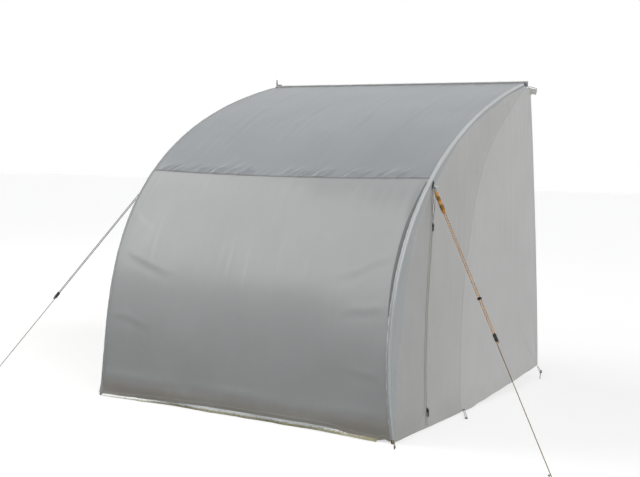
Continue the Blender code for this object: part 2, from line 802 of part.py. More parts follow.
def make_sleeve(side):
    runs = [SLEEVE_START] + [POLE_LENGTH * k / POLE_STATIONS for k in range(1, POLE_STATIONS)]
    runs.append(POLE_LENGTH - SLEEVE_END_GAP)
    sections = [sleeve_section(run, side) for run in runs]
    hollow_loft(f"pole_sleeve_{SIDE_NAMES[side]}", [s[0] for s in sections],
                [s[1] for s in sections], SLEEVE_CLOTH)


def make_pole_ends(side):
    label = SIDE_NAMES[side]
    point, along, over, out = pole_frame(0.0, side)
    nose = 0.0125
    profile = [(0.0, nose), (TIP_RADIUS * 0.55, nose - 0.0012), (TIP_RADIUS * 0.9, nose - 0.004),
               (TIP_RADIUS, nose - 0.008), (TIP_RADIUS, -CAP_GRIP), (CAP_BORE, -CAP_GRIP),
               (CAP_BORE, -0.0035), (0.0, -0.0035)]
    side_axis = np.cross(over, -along)
    turned(f"pole_tip_{label}", profile, BLACK_PLASTIC, frame_matrix(side_axis, over, -along, point))
    point, along, over, out = pole_frame(1.0, side)
    side_axis = np.cross(over, -along)
    profile = [(0.0, 0.013), (CAP_BORE, 0.013), (CAP_BORE, 0.013 + CAP_GRIP),
               (FOOT_RADIUS * 0.85, 0.013 + CAP_GRIP), (FOOT_RADIUS, 0.030), (FOOT_RADIUS, -0.006),
               (0.0, -0.006)]
    foot = turned(f"pole_foot_{label}", profile, BLACK_PLASTIC,
                  frame_matrix(side_axis, over, -along, point))
    ground = box(f"foot_cut_{label}", (0.06, 0.06, 0.03), BLACK_PLASTIC,
                 Matrix.Translation((float(point[0]), float(point[1]), -0.015)))
    boolean(foot, ground, "DIFFERENCE")


# Rail band, welt cord and corner fittings
def make_rail_band():
    size = (2 * BAND_HALF_WIDTH, BAND_THICKNESS, BAND_HEIGHT)
    centre = (0.0, -BAND_THICKNESS / 2, RAIL_HEIGHT - BAND_HEIGHT / 2)
    box("rail_band", size, UPPER_CLOTH, Matrix.Translation(centre))
    height = RAIL_HEIGHT + WELT_RADIUS + SEAM_GAP
    ends = [(x, -BAND_THICKNESS / 2, height) for x in (-BAND_HALF_WIDTH, 0.0, BAND_HALF_WIDTH)]
    tube("welt_cord", ends, WELT_RADIUS, PALE_CLOTH)


def make_right_corner():
    """A webbing tab that slopes down from the band, with a cord loop and a hook."""
    tilt = math.radians(TAB_TILT)
    along = np.array([math.cos(tilt), 0.0, -math.sin(tilt)])
    up = np.array([math.sin(tilt), 0.0, math.cos(tilt)])
    back = np.array([0.0, 1.0, 0.0])
    corner = np.array([BAND_HALF_WIDTH - TAB_INSET, -BAND_THICKNESS / 2,
                       RAIL_HEIGHT - BAND_HEIGHT - SEAM_GAP])
    centre = corner + along * TAB_LENGTH / 2 - up * TAB_HEIGHT / 2
    box("corner_tab_right", (TAB_LENGTH, TAB_THICKNESS, TAB_HEIGHT), PALE_CLOTH,
        frame_matrix(along, back, up, centre))
    middle = corner + along * (TAB_INSET + 0.0014 + CORD_LENGTH / 2)
    middle = middle + up * (CORD_RADIUS + SEAM_GAP + CORD_HALF_HEIGHT)
    path = [middle + along * a + up * b
            for a, b in stadium(CORD_LENGTH - 2 * CORD_RADIUS, 2 * CORD_HALF_HEIGHT, 6)]
    tube("corner_cord_right", path, CORD_RADIUS, BLACK_WEB, cyclic=True, resolution=1)
    hook = [(-0.008, 0.0), (-0.008, -0.006), (-0.0035, -0.011), (-0.0035, -0.028)]
    hook += arc((0.0025, -HOOK_LENGTH + 0.008), 0.008, 200, 345, 7)
    hook += [(0.0105, -0.026), (0.0068, -0.026)]
    hook += arc((0.0025, -HOOK_LENGTH + 0.009), 0.0040, -10, -170, 5)
    hook += [(0.0005, -0.026), (0.0005, -0.012), (0.008, -0.006), (0.008, 0.0)]
    top = corner + along * HOOK_AT - up * (TAB_HEIGHT + SEAM_GAP)
    outline("corner_hook_right", [hook], HOOK_THICKNESS / 2, frame_matrix(along, up, -back, top),
            BLACK_PLASTIC)


def make_left_corner():
    """An upright stop on the welt's end, which keeps the band from sliding along the rail."""
    shape = [(0.0, 0.0), (STOP_LENGTH, 0.0), (STOP_LENGTH, 0.006), (0.010, 0.006),
             (0.0085, 0.012), (0.007, STOP_HEIGHT - 0.004)]
    shape += arc((0.0035, STOP_HEIGHT - 0.0035), 0.0035, 0, 180, 6) + [(0.0, 0.012)]
    foot = (-BAND_HALF_WIDTH + 0.006, -BAND_THICKNESS / 2,
            RAIL_HEIGHT + 2 * WELT_RADIUS + 2 * SEAM_GAP)
    outline("rail_stop_left", [shape], HOOK_THICKNESS / 2,
            frame_matrix((1, 0, 0), (0, 0, 1), (0, -1, 0), foot), BLACK_PLASTIC)


# Zip
def make_zip():
    low = [v for v in ROW_SHARES if v <= FLAP_SHARE]
    drop = ZIP_HIGH[1] * FLAP_TOP_GAP

    def tape_grid(far):
        rows = []
        for level in low:
            up = zip_axes(level)[0]
            toward = unit(far(level) - zip_line(level))
            face = unit(np.cross(up, toward))
            face = face if face[0] > 0 else -face
            start = toward * (CHAIN_GAP + CHAIN_WIDTH - TAPE_LAP) + face * TAPE_LIFT
            start = zip_line(level) - drop + start
            rows.append([start + toward * TAPE_WIDTH * c / 2 for c in range(3)])
        return rows

    look = (GREY_WALL, 0.7, 0.0)
    fixed = sheet("zip_half_fixed", [tape_grid(pole_edge)], TAPE_THICKNESS, look)
    flap = sheet("zip_half_flap", [tape_grid(fold_line)], TAPE_THICKNESS, look)
    thick = CHAIN_HIGH - CHAIN_LOW
    for first, last, (_, up, across, out) in ((0.0, KNEE_SHARE, ZIP_LOW),
                                              (KNEE_SHARE, FLAP_SHARE, ZIP_HIGH)):
        foot = zip_line(first) - drop + up * (CHAIN_END if first == 0.0 else -CHAIN_LAP)
        head = zip_line(last) - drop - up * (CHAIN_END if last == FLAP_SHARE else -CHAIN_LAP)
        length = float(np.linalg.norm(head - foot))
        for sign, half in ((-1, fixed), (1, flap)):
            centre = (foot + head) / 2 + across * sign * (CHAIN_GAP + CHAIN_WIDTH / 2)
            centre = centre + out * (CHAIN_HIGH + CHAIN_LOW) / 2
            chain = box(f"{half.name}_chain", (CHAIN_WIDTH, length, thick), look,
                        frame_matrix(across, up, -out, centre))
            boolean(half, chain, "UNION")


def on_zip(height, axes):
    origin, up, _, _ = axes
    return origin + up * (height - origin[2]) / up[2]


def pull_pivot(height, axes):
    return on_zip(height, axes) + axes[3] * (SLIDER_LIFT + SLIDER_PLATE + PIN_LIFT)


def make_slider(name, pull_name, height, axes, flip):
    """One slider: a shouldered plate, two lugs and the pin that carries the pull."""
    _, up, across, out = axes
    place = on_zip(height, axes) + out * (SLIDER_LIFT + SLIDER_PLATE / 2)
    half, wide, neck = SLIDER_LENGTH / 2, SLIDER_HALF_WIDTH, SLIDER_NECK
    corners = [(-wide, half), (-wide, 0.003), (-neck, -0.004), (-neck, -half + 0.002),
               (-neck + 0.002, -half), (neck - 0.002, -half), (neck, -half + 0.002),
               (neck, -0.004), (wide, 0.003), (wide, half), (wide - 0.003, half + 0.0015),
               (0.0015, half + 0.0015), (0.0, half - 0.004), (-0.0015, half + 0.0015),
               (-wide + 0.003, half + 0.0015)]
    shape = [(x, y * flip) for x, y in corners]
    plate = as_mesh(outline(name, [shape], SLIDER_PLATE / 2, frame_matrix(across, up, -out, place),
                            BLACK_PLASTIC))
    pivot = pull_pivot(height, axes)
    lug_at = SLIDER_HALF_WIDTH - LUG_THICKNESS / 2 - 0.0001
    lug_foot = PIN_LIFT + SLIDER_PLATE / 2
    lug_shape = [(-0.0034, -lug_foot), (0.0034, -lug_foot)] + arc((0, 0), LUG_RADIUS, 0, 180, 7)
    for sign in (-1, 1):
        at = pivot + across * sign * lug_at
        lug = outline(f"{name}_lug_{sign + 1}", [lug_shape], LUG_THICKNESS / 2,
                      frame_matrix(up, out, np.cross(up, out), at), BLACK_PLASTIC)
        boolean(plate, as_mesh(lug), "UNION")
    ends = [pivot + across * s * lug_at for s in (-1, 1)]
    boolean(plate, cylinder(f"{name}_pin", ends[0], ends[1], PIN_RADIUS, BLACK_PLASTIC, 12), "UNION")
    pull_half_width = lug_at - LUG_THICKNESS / 2 - PULL_SIDE_GAP
    half_thick = PULL_THICKNESS / 2
    join_angle = math.degrees(math.asin(half_thick / PULL_BARREL))
    loop = arc((0, 0), PULL_BARREL, -90 + join_angle, 270 - join_angle, 15)
    loop += [(-half_thick, -PULL_LENGTH + 0.001), (0.0, -PULL_LENGTH), (half_thick, -PULL_LENGTH + 0.001)]
    bore = arc((0, 0), PULL_BORE, 0, 330, 12)
    outline(pull_name, [loop, bore], pull_half_width, frame_matrix(out, up, np.cross(out, up), pivot),
            BLACK_PLASTIC)


# Guy ropes
def guy_geometry(side):
    """Anchor, axes and main points of one guy rope."""
    t = pole_t_at_height(RAIL_HEIGHT - GUY_DROP)
    point, _, over, _ = pole_frame(t)
    seat = point - over * GUY_BACK
    lift = CLOTH / 2 + BAND_OVER_WALL + BAND_SLACK + BAND_CLOTH + STRAP_OVER_BAND
    anchor = wall_surface(seat[1], seat[2], side, lift)
    wall_out = unit(np.cross(wall_point(seat[1], seat[2] + 0.02) - wall_point(seat[1], seat[2]),
                             wall_point(seat[1] + 0.02, seat[2]) - wall_point(seat[1], seat[2])))
    wall_out = wall_out if wall_out[0] > 0 else -wall_out
    out, forward = GUY_PEG_OUT[SIDE_NAMES[side]], GUY_PEG_FORWARD[SIDE_NAMES[side]]
    target = np.array([POLE_FOOT_HALF_WIDTH + out, -TENT_DEPTH - forward, PEG_HOLD_HEIGHT])
    down = unit(target - anchor)
    anchor, wall_out, down = (mirrored(v, side) for v in (anchor, wall_out, down))
    slope = unit(down - wall_out * (down @ wall_out))
    broad = np.cross(slope, wall_out)
    normal = np.cross(broad, down)
    if normal @ wall_out < 0:
        normal, broad = -normal, -broad
    spread = RING_WIRE + ROPE_RADIUS + ROPE_CLEARANCE
    eye = anchor + down * STRAP_LENGTH + normal * STRAP_THICKNESS / 2
    turn = eye + down * RING_REACH
    length = float(np.linalg.norm(mirrored(target, side) - turn))
    return {"anchor": anchor, "out": wall_out, "down": down, "slope": slope, "broad": broad,
            "normal": normal, "spread": spread, "eye": eye, "turn": turn, "length": length}


def make_guy(side):
    label = SIDE_NAMES[side]
    g = guy_geometry(side)
    # Strap: a patch on the sleeve, then a tongue with an eye round the ring's bar
    flat = np.array([g["down"] @ g["slope"], g["down"] @ g["out"]])
    left_normal = np.array([-flat[1], flat[0]])
    eye = flat * STRAP_LENGTH + left_normal * STRAP_THICKNESS / 2
    radius = RING_WIRE + 0.0004 + STRAP_THICKNESS
    hole = RING_WIRE + 0.0004
    start = math.degrees(math.atan2(flat[1], flat[0]))
    spread = math.degrees(math.asin(STRAP_THICKNESS / 2 / radius))
    shape = [(-STRAP_PATCH, 0.0), (0.0, 0.0)]
    shape += arc(eye, radius, start - 180 + spread, start + 180 - spread, 13)
    knee = left_normal * STRAP_THICKNESS
    shape += [(knee[0] - 0.0004, STRAP_THICKNESS), (-STRAP_PATCH, STRAP_THICKNESS)]
    plane = np.cross(g["slope"], g["out"])
    outline(f"guy_strap_{label}", [shape, arc(eye, hole, 0, 330, 12)], STRAP_HALF_WIDTH,
            frame_matrix(g["slope"], g["out"], plane, g["anchor"]), BLACK_WEB)
    # Ring: a straight bar through the strap's eye and a round bow
    centre, down, broad, normal = g["eye"], g["down"], g["broad"], g["normal"]
    ring = [(0.0, -RING_HALF_WIDTH), (0.0, -RING_HALF_WIDTH / 3), (0.0, RING_HALF_WIDTH / 3),
            (0.0, RING_HALF_WIDTH), (0.0035, RING_HALF_WIDTH + 0.0012)]
    bow = arc((RING_REACH - RING_HALF_WIDTH, 0.0), RING_HALF_WIDTH, 78, -78, 9)
    ring += bow + [(0.0035, -RING_HALF_WIDTH - 0.0012)]
    tube(f"guy_ring_{label}", [centre + down * a + broad * b for a, b in ring], RING_WIRE, WIRE,
         cyclic=True, resolution=1)
    # Rope: up from the stopper knot, round the ring's bow, down to the peg and back
    turn, gap, end = g["turn"], g["spread"], g["length"]
    knot_run = RUNNER_AT + RUNNER_LENGTH / 2 + 0.0008 + KNOT_RADIUS
    points = [turn + normal * gap + down * knot_run * (1 - k / 6) for k in range(6)]
    for angle in np.radians(np.linspace(0, 180, 9)):
        points.append(turn + normal * gap * math.cos(angle) - down * gap * math.sin(angle))
    points += [turn - normal * gap + down * end * k / 10 for k in range(1, 11)]
    peg, peg_up, m = guy_peg_place(side, g)
    bend = PEG_RADIUS + ROPE_RADIUS + ROPE_CLEARANCE
    for angle in np.radians(np.linspace(20, 180, 8)):
        points.append(peg + m * bend * math.cos(angle) + down * bend * math.sin(angle))
    points += [peg - m * bend - down * ROPE_TAIL * k / 2 for k in (1, 2)]
    rope = as_mesh(tube(f"guy_rope_{label}", points, ROPE_RADIUS, ROPE_LOOK))
    bm = bmesh.new()
    bmesh.ops.create_uvsphere(bm, u_segments=10, v_segments=7, radius=KNOT_RADIUS)
    knot = mesh_object(f"guy_knot_{label}", bm, ROPE_LOOK, angle=80.0)
    knot.matrix_world = Matrix.Translation(Vector(turn + normal * gap + down * knot_run))
    boolean(rope, knot, "UNION")
    # Runner: a waisted plate with a bore for each strand
    half, wide = RUNNER_LENGTH / 2, RUNNER_WIDTH / 2
    side_points = arc((half - wide, 0.0), wide, -80, 80, 7) + [(0.0, RUNNER_WAIST / 2)]
    shape = side_points + arc((-half + wide, 0.0), wide, 100, 260, 7) + [(0.0, -RUNNER_WAIST / 2)]
    middle = turn + down * RUNNER_AT
    matrix = frame_matrix(down, normal, np.cross(down, normal), middle)
    runner = as_mesh(outline(f"guy_runner_{label}", [shape], RUNNER_THICKNESS / 2, matrix, BLACK_PLASTIC))
    for sign in (-1, 1):
        ends = [middle + normal * gap * sign + down * half * 1.3 * s for s in (-1, 1)]
        boolean(runner, cylinder(f"bore_{label}_{sign + 1}", ends[0], ends[1], RUNNER_BORE,
                                 BLACK_PLASTIC, 16), "DIFFERENCE")
    turn_angle = math.radians(GUY_PEG_TURN)
    away = np.array([side * math.cos(turn_angle), -math.sin(turn_angle), 0.0])
    make_peg(f"guy_peg_{label}", peg, peg_up, away, PEG_HOLD_HEIGHT)


def guy_peg_place(side, g):
    """Where the guy's peg stands: its shaft touches the inside of the rope's turn."""
    away = unit([g["down"][0], g["down"][1], 0.0])
    up = unit(np.array([0.0, 0.0, 1.0]) + away * PEG_LEAN_RATIO)
    m = unit(np.cross(up, g["down"])) * side
    strand = g["turn"] - g["normal"] * g["spread"] + g["down"] * g["length"]
    return strand - m * (PEG_RADIUS + ROPE_RADIUS + ROPE_CLEARANCE), up, m


def peg_path(place, up, away, proud, flat=False):
    """A wire peg's line from its buried tip, up past the loop, and over into its hook."""
    reach = (place[2] + PEG_BURIED) / up[2]
    points = [place - up * reach, place - up * reach * 0.5, place - up * 0.012]
    over = unit(away - up * (away @ up)) if not flat else away
    if flat:
        knee = place + up * proud
        points += [knee, knee + up * 0.0012 + over * 0.0022, knee + up * 0.0014 + over * 0.010]
        side = unit(np.cross(over, [0.0, 0.0, 1.0]))
        centre = knee + up * 0.0014 + over * 0.010 + side * PEG_HOOK
        for angle in np.radians(np.linspace(25, 150, 6)):
            points.append(centre - side * PEG_HOOK * math.cos(angle) + over * PEG_HOOK * math.sin(angle))
        return points
    top = place + up * proud
    points.append(top)
    centre = top + over * PEG_HOOK
    for angle in np.radians(np.linspace(25, 180, 7)):
        points.append(centre - over * PEG_HOOK * math.cos(angle) + up * PEG_HOOK * math.sin(angle))
    points.append(top + over * 2 * PEG_HOOK - up * PEG_HOOK_DROP)
    return points


def make_peg(name, place, up, away, proud, flat=False):
    return tube(name, peg_path(place, up, away, proud, flat), PEG_RADIUS, DARK_STEEL, resolution=1)


# Hem pegs and their rubber loops
def hem_anchors(side):
    """Where each loop meets the hem and where its peg stands, both as if on the right side."""
    foot, _, _, _ = pole_frame(1.0)
    mid = wall_point(seam_foot()[1] + 0.012, WALL_HEM)
    rear = rear_line(0.0)
    hems = {"front": np.array([foot[0], foot[1], 0.020]),
            "middle": mid + np.array([CLOTH / 2, 0.0, 0.001]),
            "rear": np.array([rear[0] + CLOTH / 2, rear[1] - 0.010, rear[2] + 0.004])}
    heights = {"front": 0.010, "middle": 0.0042, "rear": REAR_HEM - 0.026}
    anchors = {}
    for place, hem in hems.items():
        out, forward = HEM_PEG_OUT[place], HEM_PEG_FORWARD[place]
        if side == LEFT and place == "front":
            out, forward = LEFT_FRONT_PEG_OUT, -LEFT_FRONT_PEG_BACK
        anchors[place] = (hem, np.array([hem[0] + out, hem[1] - forward, heights[place]]))
    return anchors


def make_hem_fixings(side):
    label = SIDE_NAMES[side]
    bend = PEG_RADIUS + LOOP_RADIUS + LOOP_CLEARANCE
    for place, (hem, peg) in hem_anchors(side).items():
        hem, peg = mirrored(hem, side), mirrored(peg, side)
        away = unit([*(peg - hem)[:2], 0.0])
        up = unit(np.array([0.0, 0.0, 1.0]) + away * HEM_PEG_LEAN_RATIO[place])
        make_peg(f"hem_peg_{label}_{place}", peg, up, away, HEM_PEG_PROUD[place], place == "middle")
        along = unit(peg - hem)
        backwards = place == "front" and side == LEFT
        off_wall = mirrored(unit([1.0, -0.055, 0.0]), side)
        if place == "front" and not backwards:
            off_wall = along
        seat = LEFT_FRONT_SEAT if backwards else LOOP_SEATS[place]
        seat += FOOT_RADIUS if place == "front" else 0.0
        near = hem + off_wall * (seat + bend + LOOP_RADIUS)
        along = unit(peg - near)
        across = unit(np.cross(up, along))
        path = []
        for angle in np.radians(np.linspace(-90, 90, 7)):
            path.append(peg + along * bend * math.cos(angle) + across * bend * math.sin(angle))
        for angle in np.radians(np.linspace(90, 270, 7)):
            path.append(near + along * bend * math.cos(angle) + across * bend * math.sin(angle))
        tube(f"peg_loop_{label}_{place}", path, LOOP_RADIUS, LOOP_LOOK, cyclic=True, resolution=1)


def build():
    make_roof_and_front()
    make_mud_flap()
    make_right_wall()
    make_left_wall()
    make_rail_band()
    make_right_corner()
    make_left_corner()
    make_zip()
    make_slider("zip_slider_top", "zip_pull_top", level_height(FLAP_SHARE) - SLIDER_TOP_FALL,
                ZIP_HIGH, -1)
    make_slider("zip_slider_bottom", "zip_pull_bottom", WALL_HEM + SLIDER_BOTTOM_RISE, ZIP_LOW, 1)
    for side in (RIGHT, LEFT):
        make_poles(side)
        make_sleeve(side)
        make_pole_ends(side)
        make_guy(side)
        make_hem_fixings(side)
    bpy.context.view_layer.update()


clear_scene()
PARTS = new_collection("bicycle_storage_tent")
CUTTERS = new_collection("cutters")
build()
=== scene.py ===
"""Looks of the bicycle storage tent, a lean-to of coated cloth on two bent poles.

Metres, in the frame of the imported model: the origin is on the ground under the middle of
the rail, the wall is the plane Y = 0, the tent reaches towards -Y and the door is at +X.
The cloth is built from the same curves as the solids, with folds, hems and stitching.
"""
import math

import bpy
import numpy as np
from mathutils import Matrix, Vector


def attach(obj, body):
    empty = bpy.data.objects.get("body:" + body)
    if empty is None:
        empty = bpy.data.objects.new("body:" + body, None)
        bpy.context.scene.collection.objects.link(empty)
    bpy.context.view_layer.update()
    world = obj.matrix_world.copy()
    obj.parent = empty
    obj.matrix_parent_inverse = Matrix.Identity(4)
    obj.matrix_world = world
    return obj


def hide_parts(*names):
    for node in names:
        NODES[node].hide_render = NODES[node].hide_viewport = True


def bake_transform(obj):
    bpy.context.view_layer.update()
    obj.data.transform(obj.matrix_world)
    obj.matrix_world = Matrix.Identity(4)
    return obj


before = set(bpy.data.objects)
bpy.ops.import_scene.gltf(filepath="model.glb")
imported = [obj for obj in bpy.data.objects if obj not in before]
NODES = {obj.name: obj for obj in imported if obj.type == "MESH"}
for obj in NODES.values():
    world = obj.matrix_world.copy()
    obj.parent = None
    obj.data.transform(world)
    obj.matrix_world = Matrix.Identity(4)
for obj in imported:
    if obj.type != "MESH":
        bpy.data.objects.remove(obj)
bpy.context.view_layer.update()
LABEL = {1: "right", -1: "left"}

# Camera, as the photograph was taken
CAMERA_PLACE = np.array([3.111, -6.657, 1.420])
CAMERA_YAW, CAMERA_PITCH, CAMERA_ROLL = (math.radians(a) for a in (-28.954, -3.709, 1.386))
FOCAL_PIXELS, IMAGE_WIDTH, SENSOR_WIDTH = 1020.7, 640, 36.0
PRINCIPAL_RISE = 8.0

# Rail and canopy
RAIL_HEIGHT = 2.000
BAND_HALF_WIDTH, BAND_HEIGHT, BAND_THICKNESS = 0.985, 0.035, 0.002
WELT_RADIUS = 0.00375
POLE_CURVE = np.array([(0.965, -0.020, 1.985), (0.980, -2.015, 1.560),
                       (0.860, -1.985, 0.670), (0.970, -1.960, 0.0)])
PANEL_EDGE, PANEL_RISE, FRONT_SAG = 0.0095, 0.0050, 0.022
SEAM_HEIGHT, SEAM_GAP = 1.355, 0.0003
CLOTH, HEM_THICKNESS, TAPE, FILM, HEM_CLEAR = 0.0014, 0.0030, 0.0008, 0.0010, 0.03
SEAM_TAPE_HALF, SEAM_TAPE_LIFT, SEAM_TAPE_CROWN = 0.0052, 0.0018, 0.0005
FELLED_WIDTH, FELLED_LIFT, FELLED_CROWN, FELLED_CLOTH = 0.012, 0.0011, 0.0004, 0.0007
# How far from an edge or a seam its doubled cloth ends
HEM_EDGE, SEAM_EDGE = (0.020, 0.024), (0.010, 0.013)
SIDE_HEM_EDGE, REAR_HEM_EDGE = (0.022, 0.026), (0.020, 0.026)
# How far from an edge or a seam its rows of stitches lie
SEAM_STITCHES, HEM_STITCHES = 0.0078, (0.006, 0.019)
RAIL_STITCHES, BAND_STITCHES = (0.006, 0.018), (0.006, 0.029)
FELLED_STITCHES, SIDE_HEM_STITCHES, REAR_STITCHES = 0.0040, 0.020, 0.018
# Painted shade strip along the right pole, for the tube's shadow on the front: its top and foot, and its
# widths by height
SHADE_STRIP_HEIGHTS = (1.335, 0.64)
SHADE_STRIP_WIDTHS = ((0.64, 0.74, 0.82, 0.92, 1.00, 1.12, 1.24, 1.335),
                    (0.004, 0.010, 0.015, 0.018, 0.020, 0.019, 0.012, 0.005))

# The front hem's height above the ground at places across, with a small arch at the right
FRONT_HEM = ((-0.97, -0.83, -0.64, -0.42, -0.20, 0.46, 0.57, 0.65, 0.70, 0.765, 0.885, 0.922, 0.950),
             (0.005, 0.008, 0.020, 0.0275, 0.036, 0.037, 0.036, 0.030, 0.019, 0.010, 0.007, 0.017, 0.012))
# The mud flap's ends, and where its foot lies on the ground: places across and their Y
FLAP_ENDS = (-0.950, 0.885)
FLAP_FOOT = ((-0.95, -0.64, -0.435, -0.20, 0.03, 0.17, 0.32, 0.457, 0.645, 0.77, 0.885),
             (-1.984, -1.966, -1.949, -1.958, -1.9535, -1.950, -1.959, -1.954, -1.963, -1.975, -1.984))

# Puckers above the seam: the stretches across that have them, their height and slant, the widths
# of coarse and fine ones, their distance from the seam and their spread
PUCKERED, PUCKER_HEIGHT, PUCKER_SLANT = ((-0.93, -0.20), (-0.02, 0.34), (0.39, 0.88)), 0.0145, 0.80
PUCKER_WIDTHS, PUCKER_PLACE, PUCKER_SPREAD = (0.034, 0.022), 0.026, 0.038
# Softer rucks: heights above and below the seam, width, distance above it and spreads
RUCK_ABOVE, RUCK_BELOW, RUCK_WIDTH, RUCK_PLACE, RUCK_SPREADS = 0.0030, 0.0010, 0.050, 0.040, (0.110, 0.022)
# Half widths of a ridge and of the dip beside it, first for creases and then for tension folds
CREASE_HALF, CREASE_SIDE, PULL_HALF, PULL_SIDE = 0.020, 0.03, 0.022, 0.030
# Long creases down the canopy: place across, lean, first and last run, depth
LONG_CREASES = ((-0.62, 0.05, 0.15, 1.30, 0.0012), (-0.20, -0.04, 0.30, 1.45, 0.0010),
                (0.21, 0.03, 0.10, 1.20, 0.0013), (0.55, -0.06, 0.40, 1.50, 0.0011),
                (0.78, -0.02, 0.25, 1.10, 0.0012))
# Tension folds that run in from the poles: height at the pole, side, slope, depth, reach
PULL_FOLDS = ((0.95, 1, 0.34, 0.0030, 0.42), (0.90, -1, 0.30, 0.0026, 0.46),
              (0.70, 1, 0.22, 0.0022, 0.34), (0.52, -1, 0.18, 0.0020, 0.36),
              (1.16, 1, 0.50, 0.0020, 0.26), (1.12, -1, 0.45, 0.0018, 0.26),
              (0.33, 1, -0.12, 0.0018, 0.30))
# Curl above the front hem: how far it bulges, and how far its edge turns in
CURL_OUT, CURL_IN = 0.0045, 0.0050

# Side walls
WALL_OUT, WALL_EDGE, WALL_TOP, WALL_HEM = 0.0020, 0.0125, 1.955, 0.005
REAR_TOP, REAR_FOOT, REAR_BOW = (1.003, -0.012, 2.000), (1.085, 0.130, 0.070), (0.007, 0.006)
SEAM_CURVE = np.array([(-0.050, 1.955), (-0.893, 1.519), (-1.008, 1.340), (-1.117, 0.014)])
SIDE_HEM = ((-1.0, -0.776, -0.537, -0.283, -0.105, 0.096, 0.14),
            (WALL_HEM, 0.017, 0.033, 0.050, 0.064, 0.080, 0.084))
# Folds that fan out of a wall's corner: its Y and Z, its way up, seed, height, rays, start and end
CORNER_FANS = (((0.13, 0.085), 1, 2, 0.0032, 6.5, (0.01, 0.12), (0.25, 0.62)),
               ((-0.03, 1.95), -1, 3, 0.0020, 8.0, (0.02, 0.10), (0.20, 0.55)))
# Crease that rises forwards from the zip's foot: its height there, its slope and depth
GORE_CREASE, GORE_SLOPE, GORE_DEPTH = 0.115, 0.95, 0.0030
# The wall's cloth sinks in along the curved seam, more so near the ground, and swells behind it
SEAM_VALLEY, LOW_VALLEY, SEAM_SWELL = 0.0010, 0.0060, 0.0050

# Door flap and zip
FLAP_TOP, FOOT_HEIGHT = 1.31447, 0.014
ZIP_POINTS = ((FOOT_HEIGHT, -1.5700), (0.65453, -1.526778), (FLAP_TOP, -1.465894))
FOLD_POINTS = ((FOOT_HEIGHT, -1.1290), (FLAP_TOP, -1.431894))
FOLD_OUT, FOLD_REACH, FOLD_HALF = np.array([0.997303, -0.064492, 0.035049]), 0.016, 0.014
CLOTH_TO_ZIP, GAP_LOW, GAP_HIGH, GAP_HALF = 0.0035, 1.120, 1.3125, 0.0058
ZIP_WAVE, ZIP_TAPE_EDGE, ZIP_TAPE_WIDTH, ZIP_TAPE_LIFT = 0.0030, 0.0021, 0.0140, 0.0021
ZIP_ENDS, SLIDER_ENDS, ZIP_STITCHES = (0.016, 1.3125), (1.105, 1.109), (0.0075, 0.0145)
TOOTH_ENDS, TOOTH_PITCH = (0.017, 1.3105), 0.0022
TOOTH_PROFILE = ((-0.0026, 0.0), (-0.0026, 0.0030), (-0.0004, 0.0036), (0.0006, 0.0030), (0.0006, 0.0))
# The dark guard behind the zip, painted shade for the tent's inside: its reach in and out, and how deep it
# lies
GUARD_INWARD, GUARD_REACH, GUARD_DEPTH = 0.024, 0.016, 0.0060

# Sleeve round each pole: its tube, its ends, and its band's width against the drop below the rail
SLEEVE_RADIUS, SLEEVE_START, TUBE_SIDES = 0.0098, 0.030, 26
SLEEVE_END_GAP, SLEEVE_FLARE, SLEEVE_MOUTHS = {1: 0.022, -1: 0.006}, 0.0018, (0.0072, 0.0102)
SLEEVE_LAYER, SLEEVE_CLEAR, SLEEVE_ROWS, BAND_ROWS = 0.0012, 0.0005, 335, 10
SLEEVE_BAND = ((0.10, 0.0125), (0.16, 0.026), (0.34, 0.016), (0.60, 0.049), (0.69, 0.048),
               (0.85, 0.060), (1.10, 0.100), (1.40, 0.122), (1.70, 0.075), (1.95, 0.030))

# Guy ropes: anchor and wall direction on the right-hand side, and where each peg holds
GUY_ANCHOR = np.array([0.951613, -1.498537, 1.321872])
GUY_WALL_OUT = np.array([0.998452, -0.054845, 0.009201])
GUY_PEGS = {1: np.array([1.873, -2.175, 0.012]), -1: np.array([-1.780, -2.094, 0.012])}
STRAP_LENGTH, STRAP_THICKNESS, STRAP_HALF, RING_REACH = 0.024, 0.0016, 0.0085, 0.018
STRAP_WEB, STRAP_APART, STRAP_BEND, STRAP_PATCH = 0.0014, 0.0026, 0.0031, 0.022
GUY_SPREAD, ROPE_RADIUS, ROPE_SHOWN, ROPE_LAY = 0.0047, 0.0020, 0.0023, 0.017
GUY_KNOT_RUN, ROPE_TAIL, PEG_LEAN, PEG_BEND = 0.9583, 0.040, 0.40, 0.0052
WHIPPING, WHIPPING_PITCH, MIDDLE_KNOT_RUN = (0.016, 0.150), 0.0054, 0.70

# The rail's right corner: its webbing tab slopes down, with a loop of black cord under it
TAB_TILT, TAB_LENGTH, TAB_HALF, TAB_INSET = math.radians(14.0), 0.087, 0.015, 0.020
TAB_SEAMS = (((0.003, -0.004), (0.003, -0.026)), ((0.018, -0.004), (0.018, -0.026)),
             ((0.003, -0.004), (0.018, -0.026)), ((0.070, -0.004), (0.070, -0.026)))
CORNER_LOOP_PLACE, CORNER_LOOP_HALF, CORNER_LOOP_RADIUS, CORNER_CORD = 0.0524, 0.0243, 0.005, 0.0017

# Peg loops: the cord's bend, its radius, each peg's reach from the hem, and how pegs lean
LOOP_BEND, LOOP_CORD = 0.0044, 0.0015
PEG_REACH = {"front": (0.050, -0.090, 0.010), "middle": (0.081, -0.148, 0.0042),
             "rear": (0.035, -0.038, 0.044)}
PEG_REACH_LEFT_FRONT = (0.070, 0.100, 0.010)
HEM_PEG_LEAN = {"front": 0.35, "middle": 0.50, "rear": 0.15}
LOOP_SEATS = {"front": 0.0083, "middle": 0.0006, "rear": -0.0010}
LOOP_SEAT_LEFT_FRONT = 0.0065

# Lamps and backdrop
SOFTBOX_DISTANCE, SOFTBOX_AIM, SUN_DISTANCE = 8.0, (0.0, -1.0, 1.0), 8.0
FLOOR_SIZE, FLOOR_GLOW, SKY_STRENGTH = 60.0, 0.61, 0.16

